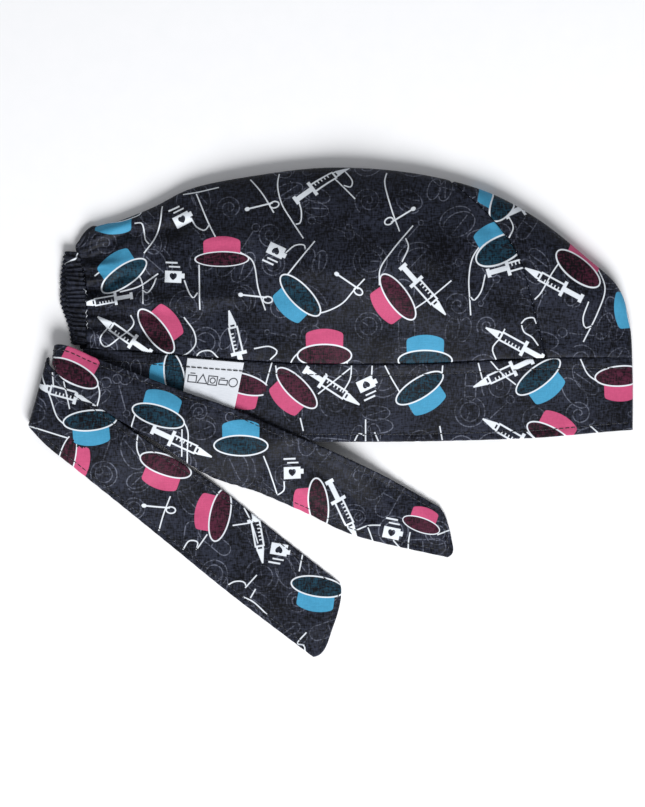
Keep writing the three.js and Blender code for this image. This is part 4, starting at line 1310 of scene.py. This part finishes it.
LEFT_TIE_LINES = [
    [(-139, 21.8), (-138.4, 14.3)],
    [(-133.4, 17.4), (-130.3, 3.6)],
    [(-80.4, -40.3), (-83.6, -48.6), (-86.2, -57.6)],
    [(-74.1, -67.1), (-70.9, -62.7), (-66.8, -63.3), (-67.3, -67.1)],
    [(-61.9, -59.5), (-66.8, -66.5)],
    [(-51.7, -85), (-47.9, -83.1), (-43.4, -83.5), (-42.1, -86.3)],
    [(-37, -79.9), (-42.8, -86.3)],
    [(-37.6, -86.9), (-40.2, -91.4)],
    [(-44, -90.8), (-38.9, -93.3), (-31.9, -99.7)],
    [(-12.1, -108.7), (-16.6, -114.4), (-13.4, -115.1), (-12.7, -118.9)],
    [(-49.1, -55), (-40.2, -53.7)],
    [(-43.4, -46.1), (-40.2, -52.4), (-36.4, -64)],
    [(-14, -69.7), (-15.7, -78)],
]


def tie_section(rows, s):
    """The edges, their unit direction across, the width, the total width of cloth and the arch, roll
    and tuck of a tie at s rows from its root."""
    read = np.stack([between_rows(column, s) for column in np.array(rows, float).T], -1)
    upper, lower = read[..., 0:3], read[..., 3:6]
    arch, roll, tuck = read[..., 6], np.maximum(read[..., 7], 0), np.maximum(read[..., 8], 0)
    width = np.linalg.norm(lower - upper, axis=-1)
    across = (lower - upper) / width[..., None]
    return upper, lower, across, width, width + np.pi * roll + tuck, arch, roll, tuck


def tie_point(rows, s, share):
    """The middle of a tie's cloth at a share of its width: a low arch from the upper to the lower
    edge, then a half turn under and straight back beneath. The second value points out of the cloth
    on the side that shows once the tie is turned back."""
    upper, _, across, width, total, arch, roll, _ = tie_section(rows, s)
    last = len(rows) - 1
    ends = [tie_section(rows, np.clip(s + d, 0, last)) for d in (-0.05, 0.05)]
    ahead = ends[1][0] + ends[1][1] - ends[0][0] - ends[0][1]
    down = np.cross(ahead, across)
    down /= np.linalg.norm(down, axis=-1, keepdims=True)
    run = share * total
    w = np.minimum(run / width, 1)
    beyond = np.maximum(run - width, 0)
    turn = np.minimum(beyond / np.maximum(roll, 0.01), np.pi)
    sideways = w * width + roll * np.sin(turn) - np.maximum(beyond - np.pi * roll, 0)
    under = roll * (1 - np.cos(turn)) - 4 * arch * w * (1 - w)
    return upper + across * sideways[..., None] + down * under[..., None], -down


def tie_flat(rows, s, share):
    """The place on the flat cloth: the tie's plan after it has turned back, and before that the same
    strip gone on backwards."""
    upper, lower, across, _, total, _, _, _ = tie_section(rows, np.maximum(s, TURN_BACK))
    fine = np.linspace(0, TURN_BACK, 200)
    middle = sum(tie_section(rows, fine)[:2]) / 2
    length = np.insert(np.cumsum(np.linalg.norm(np.diff(middle, axis=0), axis=1)), 0, 0)
    back = np.interp(s, fine, length[-1] - length, right=0.0)
    at = np.array([TURN_BACK, TURN_BACK + 1.0])
    way = np.subtract(*sum(tie_section(rows, at)[:2])[::-1, :2] / 2)
    way /= np.linalg.norm(way)
    flat_across = across[..., :2] / np.linalg.norm(across[..., :2], axis=-1, keepdims=True)
    return upper[..., :2] + flat_across * (share * total)[..., None] - way * back[..., None]


def tie_relief(flat, into, seed, folds):
    """A shallow groove under the stitches, puckers between them and the edge, a slow waver, and soft
    folds that die away at the edges."""
    x, y = flat[..., 0], flat[..., 1]
    groove = -TIE_GROOVE["depth"] * np.exp(-(((into - TIE_STITCH) / TIE_GROOVE["width"]) ** 2))
    sway = 2.0 * soft_noise(x, y, 13.0, seed)
    puckers = 0.16 * np.cos(2 * np.pi * (x * 0.8 - y * 0.6 + sway) / 7) * np.exp(-into / 3.5)
    waver = 0.3 * soft_noise(x, y, 19.0, seed + 1) + 0.1 * soft_noise(x, y, 7.0, seed + 2)
    for fold in folds:
        off = distance_to(curve_through(fold["line"], 12), x, y)
        waver = waver + fold["height"] * np.exp(-((off / fold["width"]) ** 2))
    return groove + puckers + waver * smooth(into / 4)


def kept_up(points, s, before, after):
    """Points raised, where they are lower, to the least height they may have over the table: one
    for the stretch before the tie turns back, and one for the stretch after it."""
    height = np.maximum(points[..., 2], np.where(s > TURN_BACK, after, before))
    return np.concatenate([points[..., :2], height[..., None]], -1)


def tie_grid(rows, pitch):
    """Rows of s along a tie and shares across it, evenly spaced on the cloth."""
    fine = np.linspace(0, len(rows) - 1, 600)
    middle = sum(tie_section(rows, fine)[:2]) / 2
    length = np.insert(np.cumsum(np.linalg.norm(np.diff(middle, axis=0), axis=1)), 0, 0)
    s = np.interp(spaced(length[-1], pitch) * length[-1], length, fine)
    return s[:, None], spaced(32, 0.95)[None, :]


for side, rows, chart, lines in (
    ("right", RIGHT_TIE, RIGHT_TIE_CHART, RIGHT_TIE_LINES),
    ("left", LEFT_TIE, LEFT_TIE_CHART, LEFT_TIE_LINES),
):
    seed = TIE_SEEDS[side]
    s, share = np.broadcast_arrays(*tie_grid(rows, 1.15))
    last = len(rows) - 1
    s = s - END_BOW * smooth(s - last + 1) * np.abs(2 * share - 1) ** 4
    middle, outward = tie_point(rows, s, share)
    flat = tie_flat(rows, s, share)
    total = tie_section(rows, s)[4]
    into = np.minimum(share, 1 - share) * total
    step = np.linalg.norm(np.diff(middle[:, 20], axis=0), axis=1)
    to_end = np.append(np.cumsum(step[::-1])[::-1], 0)[:, None]
    into = np.minimum(into, to_end)
    normal = np.cross(np.gradient(middle, axis=0), np.gradient(middle, axis=1))
    normal /= -np.linalg.norm(normal, axis=2, keepdims=True)
    relief = tie_relief(flat, into, seed, TIE_FOLDS[side]) * smooth((s - TURN_BACK) / 2)
    face = middle + normal * (CLOTH_WALL / 2 + relief)[..., None]
    face = kept_up(face, s, TABLE_CLEAR, CLOTH_WALL + TABLE_CLEAR)
    low, high = flat.min((0, 1)), flat.max((0, 1))
    tie, cut = cloth_piece(
        f"tie_{side}_cloth",
        face,
        flat,
        -1,
        chart,
        [curve_through(points, 40) for points in lines],
        ghost_lines(low, high, seed + 5, spacing=19.0),
        f"tie_{side}",
        both=True,
    )


# ---- the label ----------------------------------------------------------------------------------
# A woven satin ribbon caught in the band's upper seam, white, with a row of dark care marks. It is
# bare of words. It lies a little proud of the band and its free corners lift.
LABEL_CORNERS = {
    "top_left": (-71.4, 29), "top_right": (-43, 26.6),
    "bottom_left": (-74.6, 4), "bottom_right": (-48.4, 1),
}
LABEL_LONG, LABEL_WIDE = 28.0, 25.5
LABEL_WALL, LABEL_LIFT = 0.6, 0.5
LABEL_BACK = 60.0           # where the back is on the face's places, clear of the marks
LABEL_PEN = 0.28            # half width of the marks' lines


def woven_satin():
    """Polyester satin: long floats in one direction give it a bright, slightly streaked sheen."""
    tree, material = new_material("woven_satin")
    place = add_node(tree, "UVMap", uv_map="label_face")
    long_floats = add_node(tree, "Mapping", {0: place, "Scale": (0.25, 3.0, 1)})
    streak = add_node(tree, "TexNoise", {"Vector": long_floats, "Scale": 1.0, "Detail": 2.0})
    colour = add_node(
        tree, "Mix", {0: streak, 6: linear("#bfc4cc"), 7: linear("#dcdfe5")}, data_type="RGBA"
    ).outputs[2]
    # Care marks in a row: a tub, a triangle, a drum in its square, an iron and a ring.
    marks = [
        box_distance(tree, place, -10.2, 0.0, 2.1, 1.7, LABEL_PEN),
        box_distance(tree, place, -10.2, 2.8, 1.3, LABEL_PEN),
        box_distance(tree, place, 0.2, 0.0, 2.2, 2.2, LABEL_PEN),
        box_distance(tree, place, 5.6, -0.4, 2.1, 1.1, LABEL_PEN),
        box_distance(tree, place, 5.0, 1.6, 1.2, LABEL_PEN),
    ]
    for x, y, radius in ((0.2, 0.0, 1.3), (10.6, 0.0, 2.1)):
        ring = oval_distance(tree, place, x, y, radius, radius)
        size = add_node(tree, "Math", {0: ring}, operation="ABSOLUTE")
        marks.append(add_node(tree, "Math", {0: size, 1: LABEL_PEN}, operation="SUBTRACT"))
    # The triangle, with x from its middle: how far a place is outside the lines 1.8 |x| + y = 2.6
    # and y = -1.8, where 2.06 is the root of 1.8 x 1.8 + 1.
    sides = add_node(tree, "SeparateXYZ", {0: place})
    off = add_node(tree, "Math", {0: sides.outputs[0], 1: 5.0}, operation="ADD")
    size = add_node(tree, "Math", {0: off}, operation="ABSOLUTE")
    leg = add_node(tree, "Math", {0: size, 1: 1.8, 2: sides.outputs[1]}, operation="MULTIPLY_ADD")
    leg = add_node(tree, "Math", {0: leg, 1: 2.6}, operation="SUBTRACT")
    leg = add_node(tree, "Math", {0: leg, 1: 2.06}, operation="DIVIDE")
    foot = add_node(tree, "Math", {0: -1.8, 1: sides.outputs[1]}, operation="SUBTRACT")
    leg = add_node(tree, "Math", {0: leg, 1: foot}, operation="MAXIMUM")
    leg = add_node(tree, "Math", {0: leg}, operation="ABSOLUTE")
    marks.append(add_node(tree, "Math", {0: leg, 1: LABEL_PEN}, operation="SUBTRACT"))
    colour = add_node(
        tree,
        "Mix",
        {0: ink(tree, union(tree, marks), 0.1), 6: colour, 7: linear("#2a2c35")},
        data_type="RGBA",
    ).outputs[2]
    rough = add_node(tree, "MapRange", {0: streak, 1: 0.3, 2: 0.7, 3: 0.32, 4: 0.46})
    satin = add_node(
        tree, "BsdfPrincipled", {"Base Color": colour, "Roughness": rough, "Sheen Weight": 0.15}
    )
    add_node(tree, "OutputMaterial", {"Surface": satin})
    return material


def label_point(u, v):
    """Across by u and down by v, laid over the band and lifted a little at its free corners."""
    c = {name: np.array(corner) for name, corner in LABEL_CORNERS.items()}
    u, v = u[..., None], v[..., None]
    plan = (c["top_left"] * (1 - u) + c["top_right"] * u) * (1 - v)
    plan = plan + (c["bottom_left"] * (1 - u) + c["bottom_right"] * u) * v
    x, y = plan[..., 0], plan[..., 1]
    u, v = u[..., 0], v[..., 0]
    z = upper_height(x, y, distance_to(fold_line, x, y), 0) + LABEL_LIFT + LABEL_WALL
    wave = 0.25 * np.sin(2 * np.pi * (u * 1.3 + 0.2)) * v - 0.12 * np.cos(6 * u + 3 * v)
    return np.stack([x, y, z + wave], -1)


u, v = np.meshgrid(spaced(LABEL_LONG, 0.6), spaced(LABEL_WIDE, 0.6), indexing="ij")
label_face = label_point(u, v)
points, faces, number = wall_shell(label_face, -1, LABEL_WALL)
spot = np.stack([(u - 0.5) * LABEL_LONG, (0.4 - v) * LABEL_WIDE], -1).reshape(-1, 2)[number]
label_maps = {"label_face": spot, "OFBake": unit_layout(spot, len(faces) // 2)}
spot[len(faces) // 2 :] += LABEL_BACK
label = make_piece(
    "satin_label", points, faces, label_maps, (woven_satin(),), np.zeros(len(faces)),
    ["label"],
)


# ---- the stitching ------------------------------------------------------------------------------
# Lockstitch in black polyester thread, sunk at every needle hole. Where the needle went through the
# black dye the hole's rim shows pale. A shorter pale stitch shows at the temple seam and at a mark
# near the top of the crown.
STITCH = {"pitch": 3.0, "long": 2.65, "thick": 0.5}
FLECK = {"pitch": 4.6, "long": 0.6, "thick": 0.22}
UNDER_STITCH = 0.28         # height of a stitch under a tie that lies on the table
OVER_LABEL = 0.35           # height of a stitch over the label
TIE_END_STITCH = 0.1        # rows from a tie's end to the stitches across it
BAND_STITCHED = (-119, 149.5)           # from the ties to the forehead's fold
CROWN_MARK = {"x": -20.0, "top": 119, "bottom": 109}


def plain_thread(name, hue):
    """Spun polyester thread: a round strand with a low gloss."""
    tree, material = new_material(name)
    place = add_node(tree, "TexCoord")
    twist = add_node(tree, "TexNoise", {"Vector": place.outputs["Object"], "Scale": 2500.0})
    rough = add_node(tree, "MapRange", {0: twist, 1: 0.3, 2: 0.7, 3: 0.4, 4: 0.6})
    strand = add_node(tree, "BsdfPrincipled", {"Base Color": linear(hue), "Roughness": rough})
    add_node(tree, "OutputMaterial", {"Surface": strand})
    return material


def stitches(path, outward, kind):
    """One closed strand per stitch along a path on the cloth: six-sided rings whose middles rise
    over the cloth and sink at both ends. Its faces, and which of them are at the ends."""
    step = np.linalg.norm(np.diff(path, axis=0), axis=1)
    run = np.insert(np.cumsum(step), 0, 0)
    count = int(run[-1] / kind["pitch"])
    at = (np.arange(count) + 0.5) * kind["pitch"]
    stations = np.array([-0.5, -0.4, 0.0, 0.4, 0.5]) * kind["long"]
    rise = np.array([-0.22, 0.1, 0.2, 0.1, -0.22]) * kind["thick"]
    radius = np.array([0.12, 0.42, 0.5, 0.42, 0.12]) * kind["thick"]
    here = at[:, None] + stations
    middle = np.stack([np.interp(here, run, path[:, k]) for k in range(3)], -1)
    up = np.stack([np.interp(here, run, outward[:, k]) for k in range(3)], -1)
    ahead = np.gradient(middle, axis=1)
    ahead /= np.linalg.norm(ahead, axis=2, keepdims=True)
    aside = np.cross(ahead, up)
    aside /= np.linalg.norm(aside, axis=2, keepdims=True)
    middle = middle + up * rise[None, :, None]
    a = np.arange(6) * np.pi / 3
    ring = aside[:, :, None] * np.cos(a)[:, None] + up[:, :, None] * np.sin(a)[:, None]
    points = middle[:, :, None] + ring * radius[None, :, None, None]
    number = np.arange(30).reshape(5, 6)
    one = quads(np.hstack([number, number[:, :1]]), -1)
    ends = [(0, 1, 4, 5), (1, 2, 3, 4), (29, 28, 25, 24), (28, 27, 26, 25)]
    one = np.vstack([one, ends])
    pale = np.zeros(len(one))
    pale[:6] = pale[18:24] = pale[24:] = 1
    faces = (one[None] + np.arange(count)[:, None, None] * 30).reshape(-1, 4)
    return points.reshape(-1, 3), faces, np.tile(pale, count)


def sewn(name, runs, kind, materials):
    """All of some paths' stitches as one piece that rides on the cap."""
    points, faces, pale, start = [], [], [], 0
    for path, outward in runs:
        p, f, e = stitches(path, outward, kind)
        points.append(p)
        faces.append(f + start)
        pale.append(e)
        start += len(p)
    faces = np.vstack(faces)
    worn = np.concatenate(pale) if len(materials) > 1 else np.zeros(len(faces))
    return make_piece(name, np.vstack(points), faces, {}, materials, worn)


def on_right_half(x, y, relief):
    """A path on the outside of the right half over plan places, and the way out of the cloth."""
    z = upper_height(x, y, distance_to(fold_line, x, y), relief(x, y))
    path = np.stack([x, y, z], 1)
    ahead = np.gradient(path, axis=0)
    ahead /= np.linalg.norm(ahead, axis=1, keepdims=True)
    side = np.cross(ahead, (0, 0, 1.0))
    side /= np.linalg.norm(side, axis=1, keepdims=True)
    return path, np.cross(side, ahead)


runs = []
x = np.linspace(*BAND_STITCHED, 900)
for y in (band_edge(x, "seam") - SEAM_STITCH, band_edge(x, "hem") + HEM_STITCH):
    path, outward = on_right_half(x, y, band_relief)
    c = LABEL_CORNERS
    over_label = (x > c["top_left"][0] - 0.9) & (x < c["top_right"][0] - 0.7) & (y > 10)
    path[over_label, 2] += LABEL_LIFT + LABEL_WALL + OVER_LABEL
    runs.append((path, outward))
for side, rows in (("right", RIGHT_TIE), ("left", LEFT_TIE)):
    last = len(rows) - 1
    s = np.linspace(1.0, last - 0.12 - END_BOW, 1200)
    total = tie_section(rows, s)[4]
    edges = [(s, TIE_STITCH / total), (s, 1 - TIE_STITCH / total)]
    share = np.linspace(0.1, 0.9, 200)
    edges.append((np.full(200, last - TIE_END_STITCH), share))
    for s_at, share in edges:
        middle, outward = tie_point(rows, s_at, share)
        flat = tie_flat(rows, s_at, share)
        into = np.full(len(s_at), TIE_STITCH)
        relief = tie_relief(flat, into, TIE_SEEDS[side], TIE_FOLDS[side])
        relief = relief * smooth((s_at - TURN_BACK) / 2)
        path = middle + outward * (CLOTH_WALL / 2 + relief)[:, None]
        path = kept_up(path, s_at, UNDER_STITCH, CLOTH_WALL + TABLE_CLEAR)
        runs.append((path, outward))
black_thread = plain_thread("black_polyester_thread", "#0e0f14")
pale_thread = plain_thread("pale_needle_hole", "#666b7a")
sewn("topstitching", runs, STITCH, (black_thread, pale_thread))

runs = []
for x, y in (
    along(seam_line, np.linspace(0.06, 0.97, 300)).T,
    (np.full(60, CROWN_MARK["x"]), np.linspace(CROWN_MARK["top"], CROWN_MARK["bottom"], 60)),
):
    runs.append(on_right_half(x, y, crown_relief))
sewn("pale_stitches", runs, FLECK, (plain_thread("pale_polyester_thread", "#8a90a0"),))
